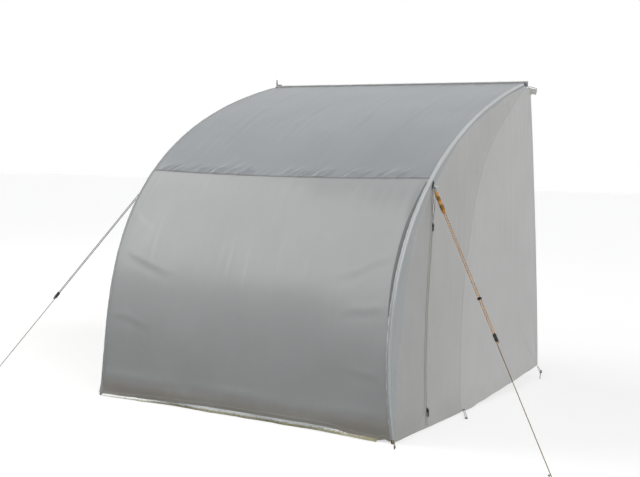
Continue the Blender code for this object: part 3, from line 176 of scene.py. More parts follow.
# Directions
RIGHT, UP = np.array([1.0, 0.0, 0.0]), np.array([0.0, 0.0, 1.0])
FORWARDS, OVER_CANOPY = np.array([0.0, -1.0, 0.0]), (0, -1, 1)


# Small maths
def unit(v):
    v = np.asarray(v, float)
    return v / np.linalg.norm(v, axis=-1, keepdims=True)


def ease(x, low, high):
    s = np.clip((np.asarray(x, float) - low) / (high - low), 0.0, 1.0)
    return s * s * (3 - 2 * s)


def hill(x, width):
    return np.exp(-(np.asarray(x, float) / width) ** 2)


def noise(seed, u, v=0.0):
    """Smooth seeded noise between about -1 and 1; u and v count cells."""
    u, v = np.broadcast_arrays(np.asarray(u, float), np.asarray(v, float))
    table = np.random.default_rng(seed).uniform(-1.0, 1.0, (67, 61))
    iu, iv = np.floor(u).astype(int), np.floor(v).astype(int)
    fu, fv = u - iu, v - iv
    fu, fv = fu * fu * (3 - 2 * fu), fv * fv * (3 - 2 * fv)
    a, b = table[iu % 67, iv % 61], table[(iu + 1) % 67, iv % 61]
    c, d = table[iu % 67, (iv + 1) % 61], table[(iu + 1) % 67, (iv + 1) % 61]
    return (a + (b - a) * fu) * (1 - fv) + (c + (d - c) * fu) * fv


def mirror(points, side):
    return np.asarray(points, float) * np.array([side, 1.0, 1.0])


def along_length(points, axis=0):
    """How far along a line or a grid each point lies."""
    steps = np.linalg.norm(np.diff(points, axis=axis), axis=-1)
    return np.concatenate([np.zeros_like(steps.take([0], axis)), np.cumsum(steps, axis)], axis)


def resampled(points, run, at):
    return np.stack([np.interp(at, run, points[:, k]) for k in range(3)], -1)


def along_line(points, step):
    """A line's points at an even step, as near as its length allows."""
    points = np.asarray(points, float)
    run = along_length(points)
    count = max(2, int(round(run[-1] / step)))
    return resampled(points, run, np.linspace(0, run[-1], count + 1))


def arc(centre, at_zero, at_ninety, degrees):
    """Points round a centre, from its radii at 0 and at 90 degrees."""
    angle = np.radians(degrees)[:, None]
    return list(centre + at_zero * np.cos(angle) + at_ninety * np.sin(angle))


def spaced(start, end, step, fine_start, fine_end):
    """Values from start to end, closer together in a reach at each end."""
    count = int(round((end - start) / step))
    extra = [start + d for d in np.arange(0.0, fine_start, 0.0025)]
    extra += [end - d for d in np.arange(0.0, fine_end, 0.0025)]
    return np.unique(np.round(np.concatenate([np.linspace(start, end, count + 1), extra]), 6))


def curve_point(points, t):
    """Points of a cubic curve from its four control points."""
    t = np.asarray(t, float)[..., None]
    a, b, c, d = points
    return (1 - t) ** 3 * a + 3 * (1 - t) ** 2 * t * b + 3 * (1 - t) * t ** 2 * c + t ** 3 * d


def at_height(height, heights, values):
    """Values looked up by height on a line that falls."""
    return np.interp(-np.asarray(height, float), -heights, values)


# The pole's curve
def pole_point(t):
    return curve_point(POLE_CURVE, t)


def pole_axes(t):
    """Point, direction to the foot, outward over the roof, and outward at the side."""
    s = np.asarray(t, float)[..., None]
    a, b, c, d = POLE_CURVE
    along = unit((1 - s) ** 2 * (b - a) + 2 * (1 - s) * s * (c - b) + s ** 2 * (d - c))
    out = unit(RIGHT - along * along[..., :1])
    return pole_point(t), along, np.cross(along, out), out


POLE_T = np.linspace(0.0, 1.0, 2001)
POLE_FINE = pole_point(POLE_T)
POLE_RUN = along_length(POLE_FINE)
POLE_LENGTH = float(POLE_RUN[-1])


def run_to_t(run):
    return np.interp(run, POLE_RUN, POLE_T)


def height_to_run(height):
    return at_height(height, POLE_FINE[:, 2], POLE_RUN)


SEAM_RUN = float(height_to_run(SEAM_HEIGHT))


# The canopy: roof and front as one curved sheet
def half_width(run):
    return pole_point(run_to_t(run))[..., 0] - PANEL_EDGE


def canopy(run, across):
    """Points of the smooth roof and front, from a column of runs and a row of shares."""
    run, across = np.broadcast_arrays(np.asarray(run, float), np.asarray(across, float))
    point, _, over, _ = pole_axes(run_to_t(run))
    share = run / POLE_LENGTH
    sag = FRONT_SAG * 4 * share * (1 - share) * (1 - across ** 2)
    centre = point + over * (PANEL_RISE - sag)[..., None]
    return np.stack([across * (point[..., 0] - PANEL_EDGE), centre[..., 1], centre[..., 2]], -1)


def seam_puckers(run, x):
    """Short slanted puckers above the seam, and softer rucks on both sides of it."""
    from_seam = run - SEAM_RUN
    above, below = np.minimum(from_seam, 0.0), from_seam >= 0
    slanted = x + PUCKER_SLANT * from_seam
    strength = 0.25 + 0.75 * sum(ease(x, a, a + 0.05) * (1 - ease(x, b - 0.05, b)) for a, b in PUCKERED)
    strength = strength * (0.75 + 0.35 * noise(13, x / 0.06))
    ridge = (1 - np.abs(noise(14, slanted / PUCKER_WIDTHS[0]))) ** 2
    ridge = ridge + 0.4 * (1 - np.abs(noise(15, slanted / PUCKER_WIDTHS[1]))) ** 2
    ruck = noise(18, slanted / RUCK_WIDTH)
    pucker = PUCKER_HEIGHT * ridge * hill(above + PUCKER_PLACE, PUCKER_SPREAD)
    pucker = pucker + RUCK_ABOVE * ruck * hill(above + RUCK_PLACE, RUCK_SPREADS[0])
    relief = np.where(below, RUCK_BELOW * ruck * hill(from_seam, RUCK_SPREADS[1]), pucker)
    start = np.where(below, ease(from_seam, 0.0, 0.008), ease(-from_seam, 0.0, 0.014))
    return strength * relief * (0.3 + 0.7 * start)


def long_creases(run, x):
    total = 0.0
    for i, (place, lean, first, last, depth) in enumerate(LONG_CREASES):
        line = place + lean * (run - 0.7) + 0.012 * noise(30 + i, run / 0.3)
        window = ease(run, first, first + 0.25) * (1 - ease(run, last - 0.3, last))
        beside = hill(x - line - CREASE_SIDE, CREASE_SIDE)
        total = total + depth * window * (hill(x - line, CREASE_HALF) - 0.6 * beside)
    return total


def pull_folds(run, x, half):
    height = np.interp(run, POLE_RUN, POLE_FINE[:, 2])
    total = 0.0
    for i, (level, side, slope, depth, reach) in enumerate(PULL_FOLDS):
        inward = half - side * x
        line = level - slope * inward + 0.015 * noise(50 + i, inward / 0.12)
        fade = ease(inward, 0.01, 0.09) * (1 - ease(inward, reach * 0.5, reach))
        beside = hill(height - line + 0.035, PULL_SIDE)
        total = total + depth * fade * (hill(height - line, PULL_HALF) - 0.7 * beside)
    return total


def hem_curl(run, x):
    """The last hand's width above the hem curls in under the tent."""
    to_hem = POLE_LENGTH - run
    curl = CURL_OUT * hill(to_hem - 0.115, 0.055) - CURL_IN * (1 - ease(to_hem, 0.0, 0.07))
    low = 0.0016 * noise(18, x / 0.40, run / 0.035) * hill(to_hem - 0.10, 0.07)
    return curl * (0.75 + 0.5 * noise(17, x / 0.33)) + low


def canopy_relief(run, x, half):
    """How far the cloth stands off the smooth canopy: puckers, creases and folds."""
    broad = 0.0045 * noise(11, x / 0.52 + 7.3, run / 0.46) + 0.0018 * noise(12, x / 0.21, run / 0.26)
    broad = broad * (0.25 + 0.75 * ease(np.abs(run - SEAM_RUN), 0.0, 0.10))
    creases = 0.0006 * noise(19, x / 0.030, run / 0.25)
    rail = 0.0022 * noise(16, x / 0.035 + 3.0) * hill(run - 0.030, 0.055)
    relief = broad + seam_puckers(run, x) + long_creases(run, x) + pull_folds(run, x, half) + creases
    free = ease(half - np.abs(x), 0.0, 0.045)
    return (relief + hem_curl(run, x)) * free * ease(run, 0.0, 0.02) + rail * free


def folded_canopy(run, across):
    """Points of the canopy with its folds."""
    smooth = canopy(run, across)
    relief = canopy_relief(run, smooth[..., 0], half_width(run))
    return smooth + grid_normals(smooth, OVER_CANOPY) * relief[..., None]


# The side walls, right-hand side up
def rear_edge(height, axis):
    """The rear edge's X or Y at a height; it bows out a little."""
    share = (RAIL_HEIGHT - height) / (RAIL_HEIGHT - REAR_FOOT[2])
    bow = REAR_BOW[axis] * np.sin(math.pi * np.clip(share, 0.0, 1.0))
    return REAR_TOP[axis] + share * (REAR_FOOT[axis] - REAR_TOP[axis]) + bow


def rear_y(height):
    return rear_edge(height, 1)


def wall(y, height):
    """Points of the wall's middle surface, straight from the pole to the rear edge."""
    y, height = np.broadcast_arrays(np.asarray(y, float), np.asarray(height, float))
    front = pole_point(at_height(height, POLE_FINE[:, 2], POLE_T))
    share = (y - front[..., 1]) / (rear_y(height) - front[..., 1])
    x = front[..., 0] + WALL_OUT + share * (rear_edge(height, 0) - front[..., 0] - WALL_OUT)
    return np.stack([x, y, height], -1)


POLE_EDGE = POLE_FINE - pole_axes(POLE_T)[2] * WALL_EDGE
SEAM_LINE = curve_point(SEAM_CURVE, np.linspace(0.0, 1.0, 201))


def edge_y(height):
    return at_height(height, POLE_EDGE[:, 2], POLE_EDGE[:, 1])


def seam_y(height):
    return at_height(height, SEAM_LINE[:, 1], SEAM_LINE[:, 0])


def before_seam(height):
    return seam_y(height) - SEAM_GAP


def behind_seam(height):
    return seam_y(height) + SEAM_GAP


def zip_y(height):
    return np.interp(height, *zip(*ZIP_POINTS))


def fold_y(height):
    (z0, y0), (z1, y1) = FOLD_POINTS
    return y0 + (y1 - y0) * (np.asarray(height, float) - z0) / (z1 - z0)


def fold_tent_edge(z):
    return fold_y(z) + FOLD_REACH


def hem_z(y):
    return np.interp(y, *SIDE_HEM)


def band_width(height):
    drops, widths = (np.array(column) for column in zip(*SLEEVE_BAND))
    drop = RAIL_HEIGHT - np.asarray(height, float)
    i = np.clip(np.searchsorted(drops, drop) - 1, 0, len(drops) - 2)
    s = np.clip((drop - drops[i]) / (drops[i + 1] - drops[i]), 0.0, 1.0)
    return widths[i] + (widths[i + 1] - widths[i]) * s * s * (3 - 2 * s)


def corner_fans(y, z, seed):
    """Folds that spread from the rear corners at the ground and at the rail."""
    for (corner_y, corner_z), way, extra, height, rays, start, end in CORNER_FANS:
        reach = np.hypot(y - corner_y, z - corner_z)
        angle = np.arctan2(way * (z - corner_z), corner_y - y)
        yield height * noise(seed + extra, angle * rays, 0.5) * ease(reach, *start) * (1 - ease(reach, *end))


def zip_relief(y, z, relief, seed):
    """Beside the zip the cloth lies flat, with small ticks, and a crease rises from its foot."""
    relief = relief * (1 - hill(y - zip_y(z), 0.022) * (1 - ease(z, FLAP_TOP, FLAP_TOP + 0.08)))
    ticks = 0.0011 * noise(seed, z / 0.022) * hill(np.abs(y - zip_y(z)) - 0.022, 0.012)
    ticks = ticks * (1 - ease(z, FLAP_TOP - 0.03, FLAP_TOP))
    foot = zip_y(0.1)
    crease = GORE_DEPTH * hill(z - (GORE_CREASE + GORE_SLOPE * (y - foot)), 0.016)
    return relief + ticks - crease * ease(foot - y, 0.004, 0.03) * ease(y + 1.80, 0.0, 0.12)


def wall_relief(y, z, side):
    """How far the side cloth stands off its flat surface."""
    seed = 100 if side > 0 else 200
    from_seam, from_pole = y - seam_y(z), y - edge_y(z)
    relief = 0.0042 * noise(seed, y / 0.45 + 5.0, z / 0.55) + 0.0014 * noise(seed + 1, y / 0.17, z / 0.30)
    low = 1 - ease(z, 0.75, 1.15)
    relief = relief - (SEAM_VALLEY + LOW_VALLEY * low) * hill(from_seam, 0.045)
    relief = relief + SEAM_SWELL * low * hill(from_seam - 0.10, 0.10) + sum(corner_fans(y, z, seed))
    relief = relief + 0.0030 * noise(seed + 5, y / 0.11) * hill(z - hem_z(y), 0.10)
    relief = relief + 0.0007 * noise(seed + 7, y / 0.035, z / 0.35)
    if side > 0:
        relief = zip_relief(y, z, relief, seed + 6)
    band = band_width(z)
    tension = 0.0022 * noise(seed + 4, (z + 0.5 * from_pole) / 0.035) * hill(from_pole - band - 0.01, 0.045)
    tension = tension * (1 - ease(z, 0.42, 0.62)) * ease(z, 0.05, 0.14)
    free = ease(from_pole, np.minimum(band * 0.6, 0.05), band + 0.03)
    rear = 0.35 + 0.65 * ease(rear_y(z) - y, 0.0, 0.05)
    return relief * free * rear + tension * ease(from_pole, band * 0.7, band + 0.005)


def folded_wall(y, z, side):
    """Points of the right-hand wall with the folds of one side."""
    points = wall(y, z)
    points[..., 0] += wall_relief(y, z, side)
    return points


def wall_grid(front, rear, heights, columns, side):
    """A grid of wall points between two edges given as functions of height."""
    shares = np.linspace(0.0, 1.0, columns + 1)
    level = (heights - WALL_HEM) / (WALL_TOP - WALL_HEM)
    z = heights[:, None]
    # The edges are looked up again at each point's own height
    for _ in range(2):
        a, b = front(z), rear(z)
        y = a + (b - a) * shares[None, :]
        if z.shape[1] == 1:
            z = hem_z(y) + level[:, None] * (WALL_TOP - hem_z(y))
    return mirror(folded_wall(y, z, side), side), y, z


# Mesh builders
def new_object(name, verts, faces, look, slot, uv=None, smooth=True, body="tent", node=None):
    """A piece with its look, in a node's place if one is named, on its body; its slot is not used."""
    mesh = bpy.data.meshes.new(name)
    mesh.from_pydata(np.asarray(verts).tolist(), [], faces)
    if uv is not None:
        layer = mesh.uv_layers.new(name="Weave")
        index = np.empty(len(mesh.loops), int)
        mesh.loops.foreach_get("vertex_index", index)
        layer.data.foreach_set("uv", np.asarray(uv, np.float32)[index].ravel())
    if smooth:
        mesh.shade_smooth()
        mesh.set_sharp_from_angle(angle=math.radians(50))
    mesh.materials.append(LOOKS[look])
    obj = bpy.data.objects.new(name, mesh)
    bpy.context.scene.collection.objects.link(obj)
    if node:
        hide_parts(node)
    if body:
        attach(obj, body)
    return obj


def grid_normals(points, outward):
    n = unit(np.cross(np.gradient(points, axis=0), np.gradient(points, axis=1)) + 1e-12)
    return n if float(np.mean(n @ np.asarray(outward, float))) > 0 else -n


def grid_faces(rows, columns, base, flip):
    i, j = np.meshgrid(np.arange(rows - 1), np.arange(columns - 1), indexing="ij")
    a = base + i * columns + j
    quads = np.stack([a, a + columns, a + columns + 1, a + 1], -1).reshape(-1, 4)
    return quads[:, ::-1] if flip else quads


def tube_faces(rows, count, closed=False):
    """Quads between the rows of a tube; a closed tube's last row meets its first."""
    i = np.arange(rows if closed else rows - 1)[:, None] * count
    j = np.arange(count)[None, :]
    below, after = (i + count) % (rows * count), (j + 1) % count
    return np.stack([i + j, i + after, below + after, below + j], -1).reshape(-1, 4).tolist()


FLAT_SIZES = {}


def slab(name, points, thickness, outward, look, slot, **place):
    """A closed sheet of cloth from a grid of points in its middle."""
    rows, columns = points.shape[:2]
    n = grid_normals(points, outward)
    half = (np.broadcast_to(thickness, (rows, columns)) / 2)[..., None]
    outer, inner = (points + n * half).reshape(-1, 3), (points - n * half).reshape(-1, 3)
    count = rows * columns
    turn = np.cross(points[1, 0] - points[0, 0], points[0, 1] - points[0, 0]) @ n[0, 0] < 0
    rim = np.concatenate([np.arange(columns), np.arange(1, rows) * columns + columns - 1,
                          (rows - 1) * columns + np.arange(columns - 2, -1, -1),
                          np.arange(rows - 2, 0, -1) * columns])
    after = np.roll(rim, -1)
    sides = np.stack([rim, after, after + count, rim + count], -1)
    faces = np.concatenate([grid_faces(rows, columns, 0, turn), grid_faces(rows, columns, count, not turn),
                            sides[:, ::-1] if turn else sides])
    u, v = along_length(points, 1), along_length(points, 0)
    uv = np.stack([u, v], -1).reshape(-1, 2)
    wide, long = float(u.max()), float(v.max())
    area = float(np.linalg.norm(np.cross(np.diff(points, axis=0)[:, :-1],
                                         np.diff(points, axis=1)[:-1]), axis=2).sum())
    if area < 0.32 * wide * long:
        # A strip that runs askew in its grid is measured along its own axes
        flat = points.reshape(-1, 3) - points.reshape(-1, 3).mean(0)
        main = flat @ np.linalg.svd(flat[::7], full_matrices=False)[2].T
        wide, long = (float(v) for v in np.ptp(main, axis=0)[1::-1])
    FLAT_SIZES[name] = wide, long, area
    return new_object(name, np.concatenate([outer, inner]), faces.tolist(), look, slot,
                      np.concatenate([uv, uv]), **place)


def declare(obj, with_pieces=()):
    """Looks up the size that a piece's own grid measures; the piece is not named or marked as a sheet."""
    wide, long, area = FLAT_SIZES[obj.name]
    round(min(area, wide * long), 4)


def carried_sides(tangent, first):
    """An axis square to each tangent, carried along the path without twist."""
    a = np.asarray(first, float)
    if abs(a @ tangent[0]) > 0.9:
        a = RIGHT
    sides = []
    for t in tangent:
        a = unit(a - t * (a @ t))
        sides.append(a)
    return np.array(sides)


def swept(name, path, section, look, slot, closed=False, first=UP, twist=0.0, spread=1.0, node=None):
    """A tube along a path, with a round or shaped section given as radii by angle."""
    path = np.asarray(path, float)
    rows, count = len(path), len(section)
    tangent = unit(np.gradient(path, axis=0))
    side = carried_sides(tangent, first)
    other = np.cross(tangent, side)
    angle = np.linspace(0, 2 * math.pi, count, endpoint=False)
    phase = angle[None, :] + np.broadcast_to(twist, rows)[:, None]
    radius = np.asarray(section)[None, :] * np.broadcast_to(spread, rows)[:, None]
    ring = (path[:, None, :] + (side[:, None, :] * np.cos(phase)[..., None]
            + other[:, None, :] * np.sin(phase)[..., None]) * radius[..., None])
    faces = tube_faces(rows, count, closed)
    uv = np.stack(np.broadcast_arrays(angle[None, :] / (2 * math.pi), along_length(path)[:, None]), -1)
    if not closed:
        faces.append(list(range(count))[::-1])
        faces.append([(rows - 1) * count + k for k in range(count)])
    return new_object(name, ring.reshape(-1, 3), faces, look, slot, uv.reshape(-1, 2), node=node)


THREAD_RADIUS = 0.00042
STITCH_SHAPE = np.array([(-1, 0, 0), (-0.5, 1, 0), (-0.5, -1, 0), (-0.5, 0, 1),
                         (0.5, 1, 0), (0.5, -1, 0), (0.5, 0, 1), (1, 0, 0)], float)
STITCH_FACES = [(0, 3, 1), (0, 2, 3), (0, 1, 2), (1, 3, 6, 4), (2, 5, 6, 3), (1, 4, 5, 2),
                (4, 6, 7), (5, 7, 6), (4, 7, 5)]


def stitches(name, lines, normals, slot, pitch=0.0045, body="tent"):
    """Rows of thread that lie on cloth: each stitch a small raised bead."""
    shape = STITCH_SHAPE * np.array([pitch * 0.36, THREAD_RADIUS, THREAD_RADIUS])
    blocks, faces, base = [], [], 0
    for line, normal in zip(lines, normals):
        run = along_length(line)
        count = int(run[-1] / pitch)
        at = (np.arange(count) + 0.5) * pitch
        centre, up = resampled(line, run, at), unit(resampled(normal, run, at))
        along = unit(np.gradient(centre, axis=0))
        across = np.cross(up, along)
        block = (centre[:, None] + along[:, None] * shape[None, :, :1] + across[:, None] * shape[None, :, 1:2]
                 + up[:, None] * (shape[None, :, 2:3] + THREAD_RADIUS * 0.15))
        blocks.append(block.reshape(-1, 3))
        for k in range(count):
            faces += [tuple(base + 8 * k + c for c in f) for f in STITCH_FACES]
        base += 8 * count
    return new_object(name, np.concatenate(blocks), faces, "thread", slot, smooth=False, body=body)


# Materials
def node_material(name):
    material = bpy.data.materials.new(name)
    material.use_nodes = True
    tree = material.node_tree
    return material, tree, tree.nodes["Principled BSDF"]


def feed(tree, socket, value):
    """Sets an input to a number or a colour, or joins another node's output to it."""
    if isinstance(value, tuple):
        socket.default_value = (*value, 1.0)
    elif isinstance(value, (int, float)):
        socket.default_value = value
    else:
        tree.links.new(value, socket)


def add_node(tree, kind, **settings):
    """A new node; each setting is one of its inputs, or else one of its properties."""
    node = tree.nodes.new(kind)
    for key, value in settings.items():
        if key in node.inputs:
            feed(tree, node.inputs[key], value)
        else:
            setattr(node, key, value)
    return node


def dress(tree, shader, **inputs):
    """Sets a shader's inputs; an underscore stands for a space."""
    for key, value in inputs.items():
        feed(tree, shader.inputs[key.replace("_", " ")], value)


def maths(tree, operation, a, b=None):
    node = add_node(tree, "ShaderNodeMath", operation=operation)
    feed(tree, node.inputs[0], a)
    if b is not None:
        feed(tree, node.inputs[1], b)
    return node.outputs[0]


def mixed(tree, share, first, second):
    node = add_node(tree, "ShaderNodeMix", data_type="RGBA")
    for index, value in ((0, share), (6, first), (7, second)):
        feed(tree, node.inputs[index], value)
    return node.outputs[2]


def ranged(tree, value, low, high, to_low=0.0, to_high=1.0):
    node = add_node(tree, "ShaderNodeMapRange", interpolation_type="SMOOTHSTEP", Value=value)
    dress(tree, node, From_Min=low, From_Max=high, To_Min=to_low, To_Max=to_high)
    return node.outputs["Result"]


def noise_value(tree, place, scale, detail, roughness):
    node = add_node(tree, "ShaderNodeTexNoise", Vector=place, Scale=scale, Detail=detail, Roughness=roughness)
    return node.outputs["Fac"]


def wave(tree, value, length):
    return maths(tree, "SINE", maths(tree, "MULTIPLY", value, 2 * math.pi / length))


def split(tree, vector):
    """The X, Y and Z outputs of a vector."""
    return add_node(tree, "ShaderNodeSeparateXYZ", Vector=vector).outputs


def object_place(tree):
    return add_node(tree, "ShaderNodeTexCoord").outputs["Object"]


def weave_place(tree):
    return split(tree, add_node(tree, "ShaderNodeUVMap", uv_map="Weave").outputs["UV"])


def bumped(tree, height, strength, distance, **under):
    node = add_node(tree, "ShaderNodeBump", Height=height, Strength=strength, Distance=distance, **under)
    return node.outputs["Normal"]


def scaled(colour, factor):
    return tuple(c * factor for c in colour)


# The brown near the ground stands for soil and for painted reflection of warm ground light
SOIL_AND_GROUND_REFLECTION, WORN_ROPE, WEAVE_PITCH = (0.20, 0.165, 0.115), (0.115, 0.078, 0.025), 0.0011
CLEAN_FILM, MUDDY_FILM, GREEN_FILM = (0.88, 0.92, 0.93), (0.38, 0.365, 0.255), (0.25, 0.24, 0.10)


def cloth_material(name, colour, roughness, soil_and_reflection=0.06, sheen=0.08, crinkle=0.10,
                   gloss=0.45, index=1.5, grain=0.06, below_highlight_colour=None):
    """Coated woven cloth: mottled colour, a fine weave and crinkles, browner near the ground as soil and,
    where strong, as painted reflection of warm ground light; an optional lower colour sits under a painted
    highlight.
    """
    material, tree, shader = node_material(name)
    place, weave = object_place(tree), weave_place(tree)
    height = split(tree, place)["Z"]
    mottle = noise_value(tree, place, 2.6, 4.0, 0.6)
    base = mixed(tree, ranged(tree, mottle, 0.30, 0.70), scaled(colour, 0.965), scaled(colour, 1.035))
    speck = noise_value(tree, place, 85.0, 2.0, 0.7)
    base = mixed(tree, ranged(tree, speck, 0.35, 0.75, 0.0, 0.06), base, scaled(colour, 0.80))
    # Painted highlight: below 0.6 m the cloth takes this lower colour, rising to the paler main colour by 1 m
    if below_highlight_colour:
        base = mixed(tree, ranged(tree, height, 0.60, 1.00), below_highlight_colour, base)
    uneven = maths(tree, "MULTIPLY", noise_value(tree, place, 9.0, 3.0, 0.6), -0.10)
    # Browner and darker towards the ground: soil, and on the front also a painted reflection of warm light
    # from the ground
    base = mixed(tree, ranged(tree, maths(tree, "ADD", height, uneven), -0.01, 0.11, soil_and_reflection, 0.0), base, SOIL_AND_GROUND_REFLECTION)
    woven = maths(tree, "MULTIPLY", wave(tree, weave["X"], WEAVE_PITCH), wave(tree, weave["Y"], WEAVE_PITCH))
    fine = bumped(tree, woven, grain, 0.00012)
    normal = bumped(tree, noise_value(tree, place, 38.0, 5.0, 0.62), crinkle, 0.004, Normal=fine)
    dress(tree, shader, Base_Color=base, Roughness=roughness, Normal=normal, Specular_IOR_Level=gloss,
          IOR=index, Sheen_Weight=sheen, Sheen_Roughness=0.5)
    return material


def webbing_material(name, colour, rib=0.0016):
    """Narrow woven webbing with ribs across it."""
    material, tree, shader = node_material(name)
    weave = weave_place(tree)
    cross = maths(tree, "MULTIPLY", wave(tree, weave["Y"], rib * 1.6), 0.6)
    height = maths(tree, "ADD", wave(tree, weave["X"], rib), cross)
    base = mixed(tree, ranged(tree, height, -1.6, 1.6), scaled(colour, 0.72), scaled(colour, 1.15))
    mottle = noise_value(tree, object_place(tree), 70.0, 3.0, 0.6)
    base = mixed(tree, ranged(tree, mottle, 0.35, 0.75, 0.0, 0.25), base, scaled(colour, 0.75))
    dress(tree, shader, Base_Color=base, Roughness=0.82, Specular_IOR_Level=0.25,
          Normal=bumped(tree, height, 0.5, 0.0004))
    return material


def rope_material(name, bright, pale, dark):
    """Laid rope: its strands take different colours, with dark flecks, duller towards the peg."""
    material, tree, shader = node_material(name)
    weave = weave_place(tree)
    base = mixed(tree, maths(tree, "GREATER_THAN", weave["X"], 1 / 3), bright, pale)
    base = mixed(tree, maths(tree, "GREATER_THAN", weave["X"], 2 / 3), base, dark)
    fleck = wave(tree, weave["Y"], 0.0031)
    base = mixed(tree, ranged(tree, fleck, 0.1, 0.8, 0.0, 0.55), base, scaled(dark, 0.8))
    spots = noise_value(tree, object_place(tree), 120.0, 2.0, 0.6)
    base = mixed(tree, ranged(tree, spots, 0.52, 0.62, 0.0, 0.55), base, scaled(dark, 0.7))
    worn = ranged(tree, weave["Y"], 1.88, 1.96, 0.0, 0.85)
    base = mixed(tree, worn, base, WORN_ROPE)
    dress(tree, shader, Base_Color=base, Roughness=0.85, Specular_IOR_Level=0.2,
          Normal=bumped(tree, fleck, 0.4, 0.0003))
    return material


def film_material(name):
    """The mud flap: pale film, with splashed soil along its lower edge."""
    material, tree, shader = node_material(name)
    place = object_place(tree)
    spot = split(tree, place)
    mottle = noise_value(tree, place, 16.0, 5.0, 0.65)
    fine = noise_value(tree, place, 75.0, 4.0, 0.7)
    depth = maths(tree, "DIVIDE", spot["Z"], ranged(tree, spot["X"], -0.95, -0.20, 0.012, 0.032))
    edge = maths(tree, "ADD", depth, maths(tree, "MULTIPLY", mottle, -0.45))
    base = mixed(tree, ranged(tree, edge, 0.10, 0.50), MUDDY_FILM, CLEAN_FILM)
    green = maths(tree, "MULTIPLY", ranged(tree, fine, 0.46, 0.62, 0.0, 0.75),
                  ranged(tree, edge, 0.25, 0.70, 1.0, 0.12))
    base = mixed(tree, green, base, GREEN_FILM)
    dress(tree, shader, Base_Color=base, Roughness=ranged(tree, mottle, 0.3, 0.7, 0.30, 0.48),
          Specular_IOR_Level=0.5, Normal=bumped(tree, fine, 0.2, 0.002))
    return material


def hard_material(name, colour, roughness, metallic=0.0, grain=220.0, wear=None, coat=0.0):
    """Moulded plastic or metal, with a fine grain, smudges and lighter scuffs."""
    material, tree, shader = node_material(name)
    place = object_place(tree)
    smudge = noise_value(tree, place, 45.0, 4.0, 0.6)
    base = mixed(tree, ranged(tree, smudge, 0.3, 0.7), scaled(colour, 0.85), scaled(colour, 1.15))
    if wear:
        scuff = noise_value(tree, place, 130.0, 5.0, 0.75)
        base = mixed(tree, ranged(tree, scuff, 0.60, 0.72, 0.0, 0.55), base, wear)
    dress(tree, shader, Base_Color=base, Metallic=metallic, Specular_IOR_Level=0.3, Coat_Weight=coat,
          Roughness=ranged(tree, smudge, 0.3, 0.7, roughness - 0.07, roughness + 0.08),
          Normal=bumped(tree, noise_value(tree, place, grain, 2.0, 0.6), 0.12, 0.0002))
    return material


LOOKS = {
    # The roof's cloth is a darker, bluer copy of the front's: painted shade for its duller light and painted
    # reflection of the sky
    "roof": cloth_material("Roof_cloth_painted_shade", (0.252, 0.270, 0.288), 0.40, soil_and_reflection=0.0, gloss=0.6, sheen=0.0),
    # The front's strong brown near the ground is painted reflection of warm ground light as well as soil
    "front": cloth_material("Front_cloth", (0.296, 0.307, 0.313), 0.30, soil_and_reflection=0.50, gloss=1.0, sheen=0.0,
                            crinkle=0.0, index=1.6, grain=0.0),
    "wall": cloth_material("Wall_cloth", (0.355, 0.356, 0.352), 0.45),
    # Painted shade: the middle panel and the gore are darker copies of the wall's cloth, for the shade
    # towards the wall's front
    "middle": cloth_material("Middle_wall_cloth_painted_shade", (0.320, 0.320, 0.316), 0.45),
    "gore": cloth_material("Gore_cloth_painted_shade", (0.292, 0.294, 0.289), 0.45),
    "sleeve": cloth_material("Sleeve_cloth", (0.268, 0.281, 0.284), 0.45, crinkle=0.14),
    # Painted highlight: the tube's pale colour high up, darker below 1 m, stands for the sheen along the
    # upper sleeve
    "tube": cloth_material("Sleeve_tube_painted_highlight", (0.430, 0.445, 0.455), 0.45, crinkle=0.14, soil_and_reflection=0.15,
                           below_highlight_colour=(0.300, 0.318, 0.323)),
    # Painted shade: the strip along the right pole is dark to stand for the tube's shadow
    "shade": cloth_material("Painted_shade_strip", (0.165, 0.175, 0.182), 0.7, soil_and_reflection=0.0, gloss=0.2),
    # Painted shade: the guard behind the zip is near black to stand for the tent's shaded inside
    "guard_shade": cloth_material("Zip_guard_painted_shade", (0.030, 0.031, 0.032), 0.7, soil_and_reflection=0.0, gloss=0.2),
    # Painted shade: the seam tape is darkened to stand for the shadow line where roof and front overlap
    "seam": cloth_material("Seam_tape_painted_shade", (0.190, 0.196, 0.200), 0.6, soil_and_reflection=0.0),
    "thread": cloth_material("Thread", (0.46, 0.46, 0.45), 0.7, soil_and_reflection=0.0, crinkle=0.0),
    "tape": webbing_material("Zip_tape", (0.385, 0.382, 0.355), 0.0011),
    "zip": hard_material("Zip_coil", (0.115, 0.116, 0.120), 0.45),
    "film": film_material("Mud_film"),
    "welt": cloth_material("Welt_cover", (0.70, 0.70, 0.68), 0.5, soil_and_reflection=0.0),
    "pale_web": webbing_material("Pale_webbing", (0.66, 0.65, 0.62)),
    "black_web": webbing_material("Black_webbing", (0.020, 0.020, 0.021)),
    "rope": rope_material("Guy_rope", (0.84, 0.34, 0.04), (0.80, 0.56, 0.27), (0.12, 0.055, 0.02)),
    "old_rope": rope_material("Old_guy_rope", (0.11, 0.085, 0.060), (0.17, 0.14, 0.10), (0.05, 0.038, 0.028)),
    "plastic": hard_material("Black_plastic", (0.018, 0.018, 0.019), 0.40, wear=(0.07, 0.07, 0.07)),
    "fibre": hard_material("Glass_fibre", (0.060, 0.062, 0.065), 0.34, coat=0.4),
    "steel": hard_material("Steel", (0.46, 0.46, 0.47), 0.34, 1.0, wear=(0.30, 0.29, 0.27)),
    "dark_steel": hard_material("Dark_steel", (0.020, 0.020, 0.019), 0.55, 0.2, wear=(0.07, 0.06, 0.05)),
    "rubber": hard_material("Elastic_cord", (0.016, 0.015, 0.013), 0.85, grain=400.0),
    "pale_rubber": hard_material("Foot_loop", (0.46, 0.38, 0.27), 0.70, grain=400.0),
}
